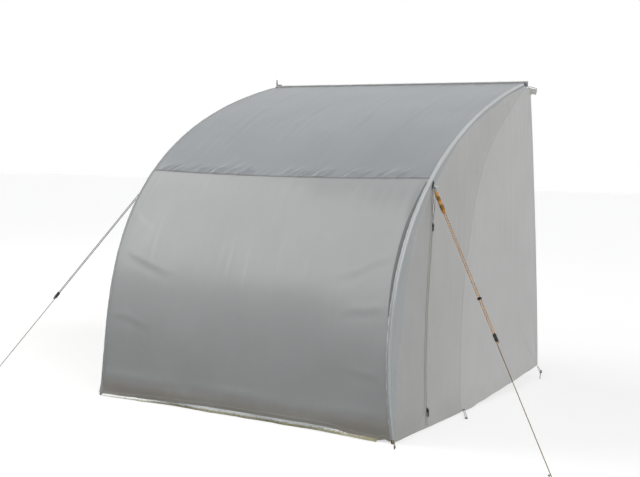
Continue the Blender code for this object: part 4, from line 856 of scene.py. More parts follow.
# The look of each rigid node that is shown as it is, by how its name starts
NODE_LOOKS = (("pole_tip", "plastic"), ("pole_foot", "plastic"), ("pole_", "fibre"), ("ferrule_", "steel"),
              ("guy_ring", "steel"), ("guy_runner", "plastic"), ("guy_peg", "dark_steel"),
              ("hem_peg", "dark_steel"), ("zip_slider", "plastic"), ("zip_pull", "plastic"),
              ("corner_hook", "plastic"), ("rail_stop", "plastic"))


# Camera
def make_camera():
    cos_yaw, sin_yaw = math.cos(CAMERA_YAW), math.sin(CAMERA_YAW)
    cos_pitch, cos_roll, sin_roll = math.cos(CAMERA_PITCH), math.cos(CAMERA_ROLL), math.sin(CAMERA_ROLL)
    forward = np.array([sin_yaw * cos_pitch, cos_yaw * cos_pitch, math.sin(CAMERA_PITCH)])
    level = np.array([cos_yaw, -sin_yaw, 0.0])
    upright = np.cross(level, forward)
    right, up = cos_roll * level + sin_roll * upright, -sin_roll * level + cos_roll * upright
    data = bpy.data.cameras.new("Camera")
    data.sensor_width = SENSOR_WIDTH
    data.lens = FOCAL_PIXELS / IMAGE_WIDTH * SENSOR_WIDTH
    data.shift_y = -PRINCIPAL_RISE / IMAGE_WIDTH
    camera = bpy.data.objects.new("Camera", data)
    columns = np.array([right, up, -forward, CAMERA_PLACE])
    camera.matrix_world = Matrix([*columns.T.tolist(), (0.0, 0.0, 0.0, 1.0)])
    bpy.context.scene.collection.objects.link(camera)
    bpy.context.scene.camera = camera


# Guy ropes: the step along a path, and the knots' radii
ROPE_STEP, STOPPER_KNOT, TAIL_KNOT, MIDDLE_KNOT = 0.0025, 0.0042, 0.0040, 0.0085
# A knot's turns and its strand's share of its radius; steps in each turn of the whipping, its swell
KNOT_TURNS, KNOT_STRAND, WHIPPING_SIDES, WHIPPING_SWELL = 2.6, 0.48, 18, 0.12


def guy_axes(side):
    """Directions down the rope, off the wall and across, and its turn, ring eye and anchor."""
    anchor, out = mirror(GUY_ANCHOR, side), mirror(GUY_WALL_OUT, side)
    down = unit(GUY_PEGS[side] - anchor)
    broad = np.cross(unit(down - out * (down @ out)), out)
    normal = np.cross(broad, down)
    if normal @ out < 0:
        normal, broad = -normal, -broad
    eye = anchor + down * STRAP_LENGTH + normal * STRAP_THICKNESS / 2
    return down, normal, broad, eye + down * RING_REACH, eye, anchor


def guy_route(side):
    """From the stopper knot up round the ring, down to the peg, round it and back."""
    down, normal, _, turn, _, _ = guy_axes(side)
    off = normal * GUY_SPREAD
    length = float(np.linalg.norm(GUY_PEGS[side] - turn))
    points = [turn + off + down * GUY_KNOT_RUN * (1 - k / 6) for k in range(6)]
    points += arc(turn, off, -down * GUY_SPREAD, np.linspace(0, 180, 13))
    points += [turn - off + down * length * k / 10 for k in range(1, 11)]
    away = unit([down[0], down[1], 0.0])
    across = unit(np.cross(unit(UP + away * PEG_LEAN), down)) * side
    peg = turn - off + down * length - across * PEG_BEND
    points += arc(peg, across * PEG_BEND, down * PEG_BEND, np.linspace(20, 180, 13))
    points += [peg - across * PEG_BEND - down * ROPE_TAIL * k / 2 for k in (1, 2)]
    return np.array(points)


def knot(name, centre, axis, radius, look, slot="rope"):
    """A small knot: the rope's own strand wound round itself."""
    side = unit(np.cross(axis, [0.3, 0.2, 0.9]))
    other = np.cross(axis, side)
    share = np.linspace(0, 1, 60)[:, None]
    angle = 2 * math.pi * KNOT_TURNS * share
    wide = radius * (0.62 + 0.30 * np.sin(math.pi * share))
    path = (centre + axis * radius * 1.5 * (share - 0.5) * np.cos(1.2 * math.pi * (share - 0.5))
            + (side * np.cos(angle) + other * np.sin(angle)) * wide)
    return swept(name, path, np.full(8, radius * KNOT_STRAND), look, slot)


def rope_whipping(turn, down, normal, broad):
    """Spare rope wound round both strands below the right-hand ring."""
    first, last = WHIPPING
    count = int((last - first) / WHIPPING_PITCH * WHIPPING_SIDES)
    k = np.arange(count + 1)[:, None]
    share, angle = k / count, 2 * math.pi * k / WHIPPING_SIDES
    swell = 1 + WHIPPING_SWELL * noise(61, share * 9.0)
    wide, deep = (GUY_SPREAD + 2 * ROPE_SHOWN) * swell, (2 * ROPE_SHOWN + 0.0002) * swell
    at = first + (last - first) * share + 0.0007 * noise(62, share * 23.0)
    path = turn + down * at + normal * wide * np.cos(angle) + broad * deep * np.sin(angle)
    return swept("rope_whipping_right", path, np.full(8, ROPE_SHOWN), "rope", "rope", first=down)


def make_guy_rope(side):
    label, look = LABEL[side], "rope" if side > 0 else "old_rope"
    down, normal, broad, turn, _, _ = guy_axes(side)
    path = along_line(guy_route(side), ROPE_STEP)
    run = along_length(path)
    angle = np.linspace(0, 2 * math.pi, 12, endpoint=False)
    section = ROPE_SHOWN * (0.80 + 0.22 * np.abs(np.cos(1.5 * angle)))
    rope = swept(f"rope_{label}", path, section, look, "rope", first=broad,
                 twist=2 * math.pi * run / ROPE_LAY, node=f"guy_rope_{label}")
    stopper = turn + normal * GUY_SPREAD + down * (GUY_KNOT_RUN + 0.001)
    extras = [knot(f"rope_stopper_{label}", stopper, down, STOPPER_KNOT, look),
              knot(f"rope_tail_knot_{label}", path[-1], down, TAIL_KNOT, look)]
    if side > 0:
        extras += [rope_whipping(turn, down, normal, broad),
                   knot("rope_knot_middle_right", turn + down * MIDDLE_KNOT_RUN, down, MIDDLE_KNOT,
                        "black_web", "black_web")]


# Roof, front and their seam
COLUMNS = np.unique(np.concatenate([np.linspace(-1, 1, 361), [-0.996, -0.985, 0.985, 0.996]]))
# Rows of the roof and of the front: their step, and how far finer ones reach in at both ends
ROOF_ROWS, FRONT_ROWS = (0.018, 0.0, 0.070), (0.015, 0.020, 0.030)
# The painted shade strip, a dark sheet along the right pole that stands for the tube's shadow on the front:
# its lift at the pole and how much that falls, and its inset from the panel's edge
SHADE_STRIP_LIFT, SHADE_STRIP_INSET = (0.0022, 0.0008), 0.001
# The mud flap: how far it hangs before the hem and overlaps it, its waves, and its foot's height
FLAP_BEFORE, FLAP_OVERLAP, FOOT_WAVES = 0.0014, 0.010, ((0.002, 0.13), (0.0015, 0.045))
FILM_WAVE, FOOT_LIFT = (0.003, 0.09, 1.7), (0.0022, 0.0012, 0.06)


def canopy_piece(name, runs, look, slot, node, hem=False):
    """A panel of the canopy, as fine as its puckers need; the front one ends in its hem."""
    run = np.broadcast_to(runs[:, None], (len(runs), len(COLUMNS))).copy()
    if hem:
        half = half_width(np.array([POLE_LENGTH - HEM_CLEAR]))[0]
        end = POLE_LENGTH - np.interp(COLUMNS * half, *FRONT_HEM)
        share = (run - runs[0]) / (runs[-1] - runs[0])
        run = runs[0] + share * (end[None, :] - runs[0])
    points = folded_canopy(run, COLUMNS[None, :])
    thick = np.full(run.shape, CLOTH)
    if hem:
        thick = thick + (HEM_THICKNESS - CLOTH) * (1 - ease(run[-1:, :] - run, *HEM_EDGE))
    thick = thick + TAPE * (1 - ease(np.abs(run - SEAM_RUN), *SEAM_EDGE))
    return slab(name, points, thick, OVER_CANOPY, look, slot, node=node), points, run


def over_canopy(run, lift):
    """A line on the canopy at a run from the rail, lifted off the cloth, and its normals."""
    runs = np.array([run - 0.002, run, run + 0.002])[:, None] + np.zeros((1, len(COLUMNS)))
    points = folded_canopy(runs, COLUMNS[None, :])
    n = grid_normals(points, OVER_CANOPY)[1]
    return points[1] + n * lift, n


def make_canopy_seam():
    """A narrow tape of cloth that covers the seam between roof and front; its dark colour is painted shade,
    the shadow line of the overlap.
    """
    normal = over_canopy(SEAM_RUN, 0.0)[1]
    rows = []
    for offset in np.linspace(-SEAM_TAPE_HALF, SEAM_TAPE_HALF, 7):
        crown = SEAM_TAPE_CROWN * (1 - (offset / SEAM_TAPE_HALF) ** 2)
        rows.append(over_canopy(SEAM_RUN + offset, 0.0)[0] + normal * (SEAM_TAPE_LIFT + crown))
    return slab("canopy_seam", np.stack(rows), TAPE, OVER_CANOPY, "seam", "front_cloth")


def make_canopy_thread(front_points, front_run):
    """Stitching beside the seam, along the front hem and below the rail."""
    rows = [over_canopy(SEAM_RUN + d, 0.0012) for d in (-SEAM_STITCHES, SEAM_STITCHES)]
    place = np.arange(len(COLUMNS))
    normals = grid_normals(front_points, OVER_CANOPY)
    for back in HEM_STITCHES:
        index = np.argmin(np.abs((front_run[-1:, :] - front_run) - back), axis=0)
        n = normals[index, place]
        rows.append((front_points[index, place] + n * HEM_THICKNESS / 2, n))
    rows += [over_canopy(d, CLOTH / 2) for d in RAIL_STITCHES]
    return stitches("canopy_stitching", *zip(*rows), "front_cloth")


def make_painted_shade_strip():
    """Painted shade: a dark strip along the right pole, where the front panel tucks in beside the sleeve,
    that stands for the tube's shadow.
    """
    height = np.linspace(*SHADE_STRIP_HEIGHTS, 90)
    runs = height_to_run(height)
    width = np.interp(height, *SHADE_STRIP_WIDTHS)
    over, half = pole_axes(run_to_t(runs))[2], half_width(runs)
    lines = []
    for share in np.linspace(0.0, 1.0, 5):
        x = half - SHADE_STRIP_INSET - width * share
        lift = canopy_relief(runs, x, half) + SHADE_STRIP_LIFT[0] - SHADE_STRIP_LIFT[1] * share
        lines.append(canopy(runs, x / half) + over * lift[:, None])
    tape = slab("painted_shade_strip", np.stack(lines), TAPE, OVER_CANOPY, "shade", "front_cloth")
    declare(tape)


def make_mud_flap(hem):
    """The pale strip under the front hem: it hangs, ripples and rests on the ground."""
    x = np.linspace(*FLAP_ENDS, 330)
    hem = hem[np.argsort(hem[:, 0])]
    top_y = np.interp(x, hem[:, 0], hem[:, 1]) + FLAP_BEFORE
    top_z = np.interp(x, hem[:, 0], hem[:, 2]) + FLAP_OVERLAP
    foot_y = np.interp(x, *FLAP_FOOT)
    for seed, (height, length) in zip((71, 72), FOOT_WAVES):
        foot_y = foot_y + height * noise(seed, x / length)
    share = np.linspace(0.0, 1.0, 15)[:, None]
    y = top_y + (foot_y - top_y) * ease(share, 0.15, 1.0)
    y = y + FILM_WAVE[0] * noise(73, x / FILM_WAVE[1], share * FILM_WAVE[2]) * np.sin(math.pi * share)
    foot_z = FOOT_LIFT[0] + FOOT_LIFT[1] * (1 + noise(74, x / FOOT_LIFT[2]))
    points = np.stack(np.broadcast_arrays(x[None, :], y, top_z + (foot_z - top_z) * share), -1)
    flap = slab("mud_flap_film", points, FILM, FORWARDS, "film", "pale_cloth",
                body="mud_flap", node="mud_flap")
    declare(flap)


def make_canopy():
    roof_runs = spaced(0.0, SEAM_RUN - SEAM_GAP, *ROOF_ROWS)
    roof, _, _ = canopy_piece("roof", roof_runs, "roof", "upper_cloth", "roof_panel")
    front_runs = spaced(SEAM_RUN + SEAM_GAP, POLE_LENGTH - HEM_CLEAR, *FRONT_ROWS)
    front, points, run = canopy_piece("front", front_runs, "front", "front_cloth", "front_panel", hem=True)
    seam_tape = make_canopy_seam()
    thread = make_canopy_thread(points, run)
    declare(seam_tape)
    declare(roof)
    declare(front, [thread])
    make_painted_shade_strip()
    make_mud_flap(points[-1])


# Walls: the rows' step, that of the hem and its band, that of the flatter top and where it starts,
# and the least gap between rows
WALL_STEP, HEM_STEP, HEM_BAND, FLAT_STEP, FLAT_FROM, ROW_GAP = 0.012, 0.004, 0.034, 0.014, 1.6, 0.0012
# How far to each side a normal is measured
PROBE = 0.004


def wall_levels(low, high, hem=True):
    """Heights for the rows of a wall, closer near the hem and where the roof turns flat."""
    heights = list(np.arange(low, high, WALL_STEP)) + [high]
    if hem:
        heights += list(np.arange(low, low + HEM_BAND, HEM_STEP))
    if high > FLAT_FROM:
        runs = np.arange(height_to_run(FLAT_FROM), height_to_run(high), -FLAT_STEP)
        heights += list(np.interp(runs, POLE_RUN, POLE_FINE[:, 2]))
    heights = np.unique(np.round(heights, 4))
    keep = [heights[0]]
    for h in heights[1:]:
        if h - keep[-1] > ROW_GAP:
            keep.append(h)
    keep[-1] = high
    return np.array(keep)


def parted(z):
    """Half of the gap between the zip's halves above the top slider."""
    share = np.clip((np.asarray(z, float) - GAP_LOW) / (GAP_HIGH - GAP_LOW), 0.0, 1.0)
    return GAP_HALF * np.sin(math.pi * share) ** 0.6


def zip_front_edge(z):
    return zip_y(z) - CLOTH_TO_ZIP - parted(z)


def zip_rear_edge(z):
    return zip_y(z) + CLOTH_TO_ZIP + parted(z)


def wall_piece(name, node, front, rear, heights, columns, side, look="wall", **place):
    points, y, z = wall_grid(front, rear, heights, columns, side)
    hem = 1 - ease(z - hem_z(y), *SIDE_HEM_EDGE)
    if rear is rear_y:
        hem = np.maximum(hem, 1 - ease(rear(z) - y, *REAR_HEM_EDGE))
    thick = CLOTH + (HEM_THICKNESS - CLOTH) * hem
    return slab(name, points, thick, (side, 0, 0), look, "wall_cloth", node=node, **place)


def on_wall(y, z, side, lift):
    """Points over the wall's cloth and their outward normals."""
    y, z = np.broadcast_arrays(np.asarray(y, float), np.asarray(z, float))
    n = unit(np.cross(folded_wall(y + PROBE, z, side) - folded_wall(y - PROBE, z, side),
                      folded_wall(y, z + PROBE, side) - folded_wall(y, z - PROBE, side)))
    n = np.where(n[..., :1] < 0, -n, n)
    points = folded_wall(y, z, side) + n * np.asarray(lift, float)[..., None]
    return mirror(points, side), mirror(n, side)


def wall_thread(name, lines, side, lift, body="tent"):
    placed = [on_wall(y, z, side, lift) for y, z in lines]
    return stitches(name, *zip(*placed), "wall_cloth", body=body)


def make_curved_seam(side, y_line, z_line):
    """A felled seam: a narrow strip of cloth that lies along the wall's curved seam."""
    tangent = unit(np.stack([np.gradient(y_line), np.gradient(z_line)], -1))
    lines = []
    for offset in np.linspace(-FELLED_WIDTH / 2, FELLED_WIDTH / 2, 5):
        y, z = y_line + tangent[:, 1] * offset, z_line - tangent[:, 0] * offset
        crown = FELLED_CROWN * (1 - (2 * offset / FELLED_WIDTH) ** 2)
        lines.append(on_wall(y, z, side, FELLED_LIFT + crown)[0])
    seam = slab(f"curved_seam_{LABEL[side]}", np.stack(lines), FELLED_CLOTH, (side, 0, 0), "wall",
                "wall_cloth")
    declare(seam)


def make_wall_seams(side):
    """The curved seam, its stitching, and that of the hem and the rear edge."""
    z = np.concatenate([np.linspace(0.012, 1.5, 130), np.linspace(1.51, 1.948, 90)])
    y = seam_y(z)
    make_curved_seam(side, y, z)
    end, count = (float(zip_y(0.03)) - 0.020, 80) if side > 0 else (-1.12, 160)
    bottom, forward = np.linspace(-1.10, 0.115, 240), np.linspace(edge_y(0.03) + 0.02, end, count)
    up = np.linspace(0.10, 1.93, 220)
    lines = [(y - FELLED_STITCHES, z), (y + FELLED_STITCHES, z), (bottom, hem_z(bottom) + SIDE_HEM_STITCHES),
             (forward, hem_z(forward) + SIDE_HEM_STITCHES), (rear_y(up) - REAR_STITCHES, up)]
    wall_thread(f"wall_stitching_{LABEL[side]}", lines, side, HEM_THICKNESS / 2)


def fold_door(door):
    """Works out the axis of the door's fold, but leaves the door's cloth unbent where it lies."""
    middle = wall(fold_y(0.66), 0.66)
    up = unit(wall(fold_y(1.31), 1.31) - wall(fold_y(FOOT_HEIGHT), FOOT_HEIGHT))
    across = np.cross(up, FOLD_OUT)
    across = unit(across) * np.sign(across[1])
    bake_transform(door)


def make_walls():
    low = wall_levels(WALL_HEM, FLAP_TOP)
    door_levels = wall_levels(WALL_HEM, FLAP_TOP - ROW_GAP)
    high = wall_levels(FLAP_TOP, WALL_TOP, hem=False)
    full = wall_levels(WALL_HEM, WALL_TOP)
    gore = wall_piece("gore", "right_gore_panel", edge_y, zip_front_edge, low, 44, 1, "gore")
    door = wall_piece("door_cloth", "door_flap", zip_rear_edge, fold_tent_edge, door_levels, 46, 1,
                      "middle", body=None)
    fold_door(door)
    mid_low = wall_piece("mid_panel_lower", None, fold_tent_edge, before_seam, low, 40, 1, "middle")
    mid_high = wall_piece("mid_panel_upper", "right_mid_panel", edge_y, before_seam, high, 90, 1, "middle")
    rear_right = wall_piece("rear_panel_right", "right_rear_panel", behind_seam, rear_y, full, 100, 1)
    left_front = wall_piece("front_panel_left_wall", "left_front_panel", edge_y, before_seam, full, 80, -1)
    left_rear = wall_piece("rear_panel_left", "left_rear_panel", behind_seam, rear_y, full, 90, -1)
    for side in LABEL:
        make_wall_seams(side)
    declare(gore)
    declare(door)
    declare(mid_low)
    declare(mid_high)
    declare(rear_right)
    declare(left_front)
    declare(left_rear)


# Pole sleeves: waves of the band's width and of the tube's radius, each a height and a length
BAND_WAVE, TUBE_WAVES = (0.0012, 0.07), ((0.00055, 0.035), (0.0004, 0.015))
BAND_LIFT, BAND_RIPPLE, BAND_HEM = 0.0013, 0.0009, 0.0006


def sleeve_grid(side):
    """Rows of the sleeve's cloth: round the pole, then flat along the wall."""
    runs = np.linspace(SLEEVE_START, POLE_LENGTH - SLEEVE_END_GAP[side], SLEEVE_ROWS)
    point, _, over, out = pole_axes(run_to_t(runs))
    width = band_width(point[:, 2]) + BAND_WAVE[0] * noise(80 + side, runs / BAND_WAVE[1])
    base = WALL_OUT + CLOTH / 2 + SLEEVE_LAYER + SLEEVE_CLEAR
    low, high = math.asin(base / SLEEVE_RADIUS), math.asin((base + SLEEVE_LAYER) / SLEEVE_RADIUS)
    radius = SLEEVE_RADIUS
    for seed, (height, length) in zip((82, 84), TUBE_WAVES):
        radius = radius + height * noise(seed + side, runs / length)
    radius = radius + SLEEVE_FLARE * ease(runs, POLE_LENGTH - 0.075, POLE_LENGTH - 0.045)
    outer = []
    for turn in high + (2 * math.pi - high + low) * np.linspace(0, 1, TUBE_SIDES + 1):
        reach = (radius * (1 + 0.05 * noise(86 + side, runs / 0.028, turn * 0.9)))[:, None]
        outer.append(point - over * (reach * math.cos(turn)) + out * (reach * math.sin(turn)))
    band_low, band_high = [], []
    tube = radius * math.cos(low)
    for share in np.linspace(0.0, 1.0, BAND_ROWS):
        spot = point - over * (tube + (width - tube) * share)[:, None]
        ripple = BAND_RIPPLE * (1 + noise(88 + side, runs / 0.030 + share * 1.3, share * 2.0))
        on = wall(spot[:, 1], np.minimum(spot[:, 2], WALL_TOP))
        lift = CLOTH / 2 + BAND_LIFT + ripple * ease(share, 0.0, 0.45)
        surface = on[:, 0] + lift + wall_relief(spot[:, 1], spot[:, 2], side)
        foot = (point - over * tube[:, None] + out * base)[:, 0]
        blend = ease(share, 0.0, 0.35)
        under = np.stack([foot * (1 - blend) + surface * blend, spot[:, 1], spot[:, 2]], -1)
        hem = BAND_HEM * (1 - ease((1 - share) * width, 0.009, 0.012))
        band_low.append(under)
        band_high.append(under + RIGHT * (SLEEVE_LAYER + hem)[:, None])
    ring = outer + band_low[1:] + band_high[:0:-1]
    return mirror(np.stack(ring, 1), side), runs, mirror(point, side), band_high


def sleeve_ends(ring, point, side):
    """Corners and faces of the tube's end hems: rings that stop at the pole, and the band's ends."""
    rows, count = ring.shape[:2]
    corners, faces = [], []
    for row, mouth in zip((0, rows - 1), SLEEVE_MOUTHS):
        base, start = rows * count + len(corners), row * count
        towards = ring[row, :TUBE_SIDES + 1] - point[row]
        corners += (point[row] + towards / np.linalg.norm(towards, axis=1)[:, None] * mouth).tolist()
        end = [[start + k, start + k + 1, base + k + 1, base + k] for k in range(TUBE_SIDES)]
        end.append([start + k for k in range(TUBE_SIDES, count)] + [start, base, base + TUBE_SIDES])
        turned = (row > 0) ^ (side < 0)
        faces += [face[::-1] for face in end] if turned else end
    return corners, faces


def make_sleeve(side):
    label = LABEL[side]
    ring, runs, point, band_high = sleeve_grid(side)
    rows, count = ring.shape[:2]
    faces = tube_faces(rows, count)
    if side < 0:
        faces = [face[::-1] for face in faces]
    corners, end_faces = sleeve_ends(ring, point, side)
    around = along_length(ring, 1)
    uv = np.stack([around, np.broadcast_to(runs[:, None], around.shape)], -1).reshape(-1, 2)
    uv = np.concatenate([uv, np.zeros((len(corners), 2))])
    sleeve = new_object(f"sleeve_{label}", ring.reshape(-1, 3).tolist() + corners, faces + end_faces,
                        "sleeve", "sleeve_cloth", uv, node=f"pole_sleeve_{label}")
    sleeve.data.materials.append(LOOKS["tube"])
    # The tube's faces take the look with the painted highlight
    for row in range(rows - 1 if side > 0 else 0):
        for k in range(TUBE_SIDES):
            sleeve.data.polygons[row * count + k].material_index = 1
    lines = [mirror(line + RIGHT * 0.0009, side) for line in (band_high[1][12:-4], band_high[8][60:-10])]
    normals = [np.broadcast_to(RIGHT * side, line.shape) for line in lines]
    thread = stitches(f"sleeve_stitching_{label}", lines, normals, "sleeve_cloth")


# Rail band, welt and the fittings at the rail's corners
def make_rail():
    x = np.linspace(-BAND_HALF_WIDTH, BAND_HALF_WIDTH, 300)
    share = np.linspace(0.0, 1.0, 9)[:, None]
    y = -BAND_THICKNESS / 2 - 0.0004 * (1 + noise(91, x / 0.04, share * 2.0)) * np.sin(math.pi * share)
    points = np.stack(np.broadcast_arrays(x[None, :], y, RAIL_HEIGHT - share * BAND_HEIGHT), -1)
    thick = 0.0014 + 0.0005 * (1 - ease(np.abs(share - 0.5), 0.30, 0.40)) + np.zeros((1, len(x)))
    band = slab("rail_band_cloth", points, thick, FORWARDS, "roof", "upper_cloth", node="rail_band")
    lines = [np.stack(np.broadcast_arrays(x, -BAND_THICKNESS - 0.0003, RAIL_HEIGHT - down), -1)
             for down in BAND_STITCHES]
    facing = np.broadcast_to(FORWARDS, lines[0].shape)
    declare(band, [stitches("rail_stitching", lines, [facing] * 2, "upper_cloth")])
    ends = np.linspace(-BAND_HALF_WIDTH, BAND_HALF_WIDTH, 400)
    path = np.stack(np.broadcast_arrays(ends, -BAND_THICKNESS / 2, RAIL_HEIGHT + WELT_RADIUS + SEAM_GAP), -1)
    taper = 1 - 0.25 * (1 - ease(BAND_HALF_WIDTH - np.abs(ends), 0.0, 0.006))
    swept("welt", path, np.full(20, WELT_RADIUS), "welt", "pale_cloth",
          spread=taper * (1 + 0.012 * noise(92, ends / 0.02)), node="welt_cord")


def strap_grid(centre_line, across, half, columns):
    return centre_line[:, None, :] + across * np.linspace(-half, half, columns)[None, :, None]


def loop_path(a, b, across, radius, count, step):
    """A closed path round two points, at an even step."""
    first, second = unit(b - a) * radius, across * radius
    path = arc(b, first, second, np.linspace(-90, 90, count))
    path += arc(a, first, second, np.linspace(90, 270, count))
    return along_line(np.array(path + [path[0]]), step)[:-1]


def make_corner():
    """The webbing tab at the rail's right corner, and the loop of cord that hangs at it."""
    along = np.array([math.cos(TAB_TILT), 0.0, -math.sin(TAB_TILT)])
    up = np.array([math.sin(TAB_TILT), 0.0, math.cos(TAB_TILT)])
    under_band = RAIL_HEIGHT - BAND_HEIGHT - SEAM_GAP
    corner = np.array([BAND_HALF_WIDTH - TAB_INSET, -BAND_THICKNESS / 2, under_band])
    s = np.linspace(0.0, TAB_LENGTH, 44)
    bow = 0.0012 * np.sin(math.pi * s / TAB_LENGTH) + 0.0003 * noise(95, s / 0.01)
    line = corner + along * s[:, None] - up * TAB_HALF + FORWARDS * bow[:, None]
    thick = 0.0014 + 0.0010 * (1 - ease(TAB_LENGTH - s, 0.016, 0.019))[:, None] + np.zeros((1, 11))
    tab = slab("corner_tab", strap_grid(line, up, TAB_HALF, 11), thick, FORWARDS, "pale_web", "pale_cloth",
               node="corner_tab_right")
    t = np.linspace(0, 1, 12)[:, None]
    box = [corner + along * (a[0] + (b[0] - a[0]) * t) + up * (a[1] + (b[1] - a[1]) * t)
           + FORWARDS * 0.0022 for a, b in TAB_SEAMS]
    facing = np.broadcast_to(FORWARDS, box[0].shape)
    thread = stitches("corner_tab_stitching", box, [facing] * 4, "pale_cloth", 0.0030)
    declare(tab, [thread])
    middle = corner + along * CORNER_LOOP_PLACE + up * (CORNER_CORD + SEAM_GAP + CORNER_LOOP_RADIUS)
    path = loop_path(middle - along * CORNER_LOOP_HALF, middle + along * CORNER_LOOP_HALF, up,
                     CORNER_LOOP_RADIUS, 16, 0.0012)
    swept("corner_loop", path, CORNER_CORD * np.array([1.0, 0.93] * 6), "rubber", "black_web", closed=True,
          first=(0.0, 1.0, 0.0), node="corner_cord_right")


# Guy straps and peg loops
def make_strap(side):
    """The webbing that lies on the sleeve, goes through the ring and comes back."""
    label = LABEL[side]
    down, normal, _, _, eye, anchor = guy_axes(side)
    out = mirror(unit(np.array([0.997, -0.05, 0.03])), side)
    slope = unit(down - out * (down @ out))
    apart = normal * STRAP_APART
    line = [anchor - slope * STRAP_PATCH * (1 - k / 8) + out * 0.0008 for k in range(9)]
    line += [anchor + (eye - anchor) * k / 6 + apart * (k / 6) for k in range(1, 6)]
    line += arc(eye, down * STRAP_BEND, normal * STRAP_BEND, np.linspace(75, -75, 9))
    line += [eye - apart * (1 - k / 6) + (anchor - eye) * k / 6 * 0.92 for k in range(1, 7)]
    points = strap_grid(along_line(np.array(line), 0.0016), unit(np.cross(slope, out)), STRAP_HALF, 9)
    strap = slab(f"guy_strap_web_{label}", points, STRAP_WEB, out, "black_web", "black_web",
                 node=f"guy_strap_{label}")
    declare(strap)


def hem_fixings(side):
    """Where each loop meets the hem and where its peg stands, both as if on the right side."""
    foot, middle, rear = pole_point(1.0), wall(SEAM_CURVE[3, 0] + 0.012, FOOT_HEIGHT), np.array(REAR_FOOT)
    hems = {"front": np.array([foot[0], foot[1], 0.020]), "middle": middle + np.array([0.0008, 0.0, 0.001]),
            "rear": rear + np.array([0.0008, -0.010, 0.004])}
    for place, hem in hems.items():
        reach = PEG_REACH_LEFT_FRONT if side < 0 and place == "front" else PEG_REACH[place]
        yield place, hem, np.array([hem[0] + reach[0], hem[1] + reach[1], reach[2]])


def make_hem_loops(side):
    """Elastic loops from the hem to its pegs, each as its solid lies."""
    for place, hem, peg in hem_fixings(side):
        hem, peg = mirror(hem, side), mirror(peg, side)
        up = unit(UP + unit([*(peg - hem)[:2], 0.0]) * HEM_PEG_LEAN[place])
        front = place == "front"
        off = unit(peg - hem) if front and side > 0 else mirror(unit([1.0, -0.055, 0.0]), side)
        seat = LOOP_SEAT_LEFT_FRONT if front and side < 0 else LOOP_SEATS[place]
        near = hem + off * (LOOP_BEND + LOOP_CORD + seat)
        path = loop_path(near, peg, unit(np.cross(up, unit(peg - near))), LOOP_BEND, 14, 0.0016)
        swept(f"hem_loop_{LABEL[side]}_{place}", path, LOOP_CORD * np.array([1.0, 0.92] * 6),
              "pale_rubber" if front else "rubber", "rubber", closed=True, first=up,
              node=f"peg_loop_{LABEL[side]}_{place}")


# Zip: its stitches' lift off the wall's cloth; the painted shade guard's thickness, foot and gap at the head
ZIP_THREAD_LIFT, GUARD_CLOTH, GUARD_ENDS = 0.0026, 0.0009, (0.030, 0.004)


def zip_wave(z, sign):
    """How the free edges of the zip's halves wave where it is open."""
    return ZIP_WAVE * noise(97 + sign, z / 0.028) * (parted(z) / GAP_HALF)


def zip_tape(name, sign, body, node):
    """One half's tape, sewn over the cloth's edge, as it lies open above the top slider."""
    z = np.concatenate([np.linspace(ZIP_ENDS[0], SLIDER_ENDS[0], 280),
                        np.linspace(SLIDER_ENDS[1], ZIP_ENDS[1], 60)])
    rows = []
    for share in np.linspace(0.0, 1.0, 6):
        offset = sign * (ZIP_TAPE_EDGE + ZIP_TAPE_WIDTH * share + parted(z))
        rows.append(on_wall(zip_y(z) + offset, z, 1, ZIP_TAPE_LIFT + zip_wave(z, sign) * (1 - share))[0])
    return slab(name, np.stack(rows, 1), TAPE, (1, 0, 0), "tape", "wall_cloth", body=body, node=node), z


def zip_chain(name, sign, body):
    """The half's row of coil teeth, each a rounded bead that reaches over the middle."""
    z = np.arange(*TOOTH_ENDS, TOOTH_PITCH) + (TOOTH_PITCH / 2 if sign > 0 else 0.0)
    centre, normal = on_wall(zip_y(z) + sign * parted(z), z, 1, 0.0)
    up = unit(np.gradient(centre, axis=0))
    across = unit(np.cross(up, normal))
    across = np.where(across[:, 1:2] > 0, across, -across) * sign
    verts, faces = [], []
    ends = [(0, 1, 2, 3, 4), (9, 8, 7, 6, 5)]
    sides = [(k, k + 5, (k + 1) % 5 + 5, (k + 1) % 5) for k in range(5)]
    for c, n, u, a, w in zip(centre, normal, up, across, zip_wave(z, sign)):
        base = len(verts)
        for half in (-0.36, 0.36):
            for reach, lift in TOOTH_PROFILE:
                along = u * TOOTH_PITCH * half * (1.0 if lift else 0.8)
                verts.append(c - a * reach + n * (lift * 0.85 - 0.0004 + w) + along)
        faces += [tuple(base + k for k in face) for face in ends + sides]
    return new_object(name, verts, faces, "zip", "wall_cloth", smooth=False, body=body)


def make_zip():
    for half, sign, body, node, cloth in (("gore", -1, "tent", "zip_half_fixed", "gore"),
                                          ("door", 1, "door", "zip_half_flap", "door_cloth")):
        tape, z = zip_tape(f"zip_tape_{half}", sign, body, node)
        chain = zip_chain(f"zip_coil_{half}", sign, body)
        lines = [(zip_y(z) + sign * (d + parted(z)), z) for d in ZIP_STITCHES]
        thread = wall_thread(f"zip_stitching_{half}", lines, 1, ZIP_THREAD_LIFT, body)
        declare(tape, [chain, thread])


def make_zip_shade_guard():
    """Painted shade: a near-black strip inside the gore, behind the zip, that closes the view through it and
    stands for the tent's dark inside.
    """
    z = np.linspace(GUARD_ENDS[0], FLAP_TOP - GUARD_ENDS[1], 220)
    offsets = np.linspace(-GUARD_INWARD, GUARD_REACH, 7)
    points = np.stack([on_wall(zip_y(z) + d, z, 1, -GUARD_DEPTH)[0] for d in offsets], 1)
    declare(slab("zip_shade_guard", points, GUARD_CLOTH, (1, 0, 0), "guard_shade", "wall_cloth"))


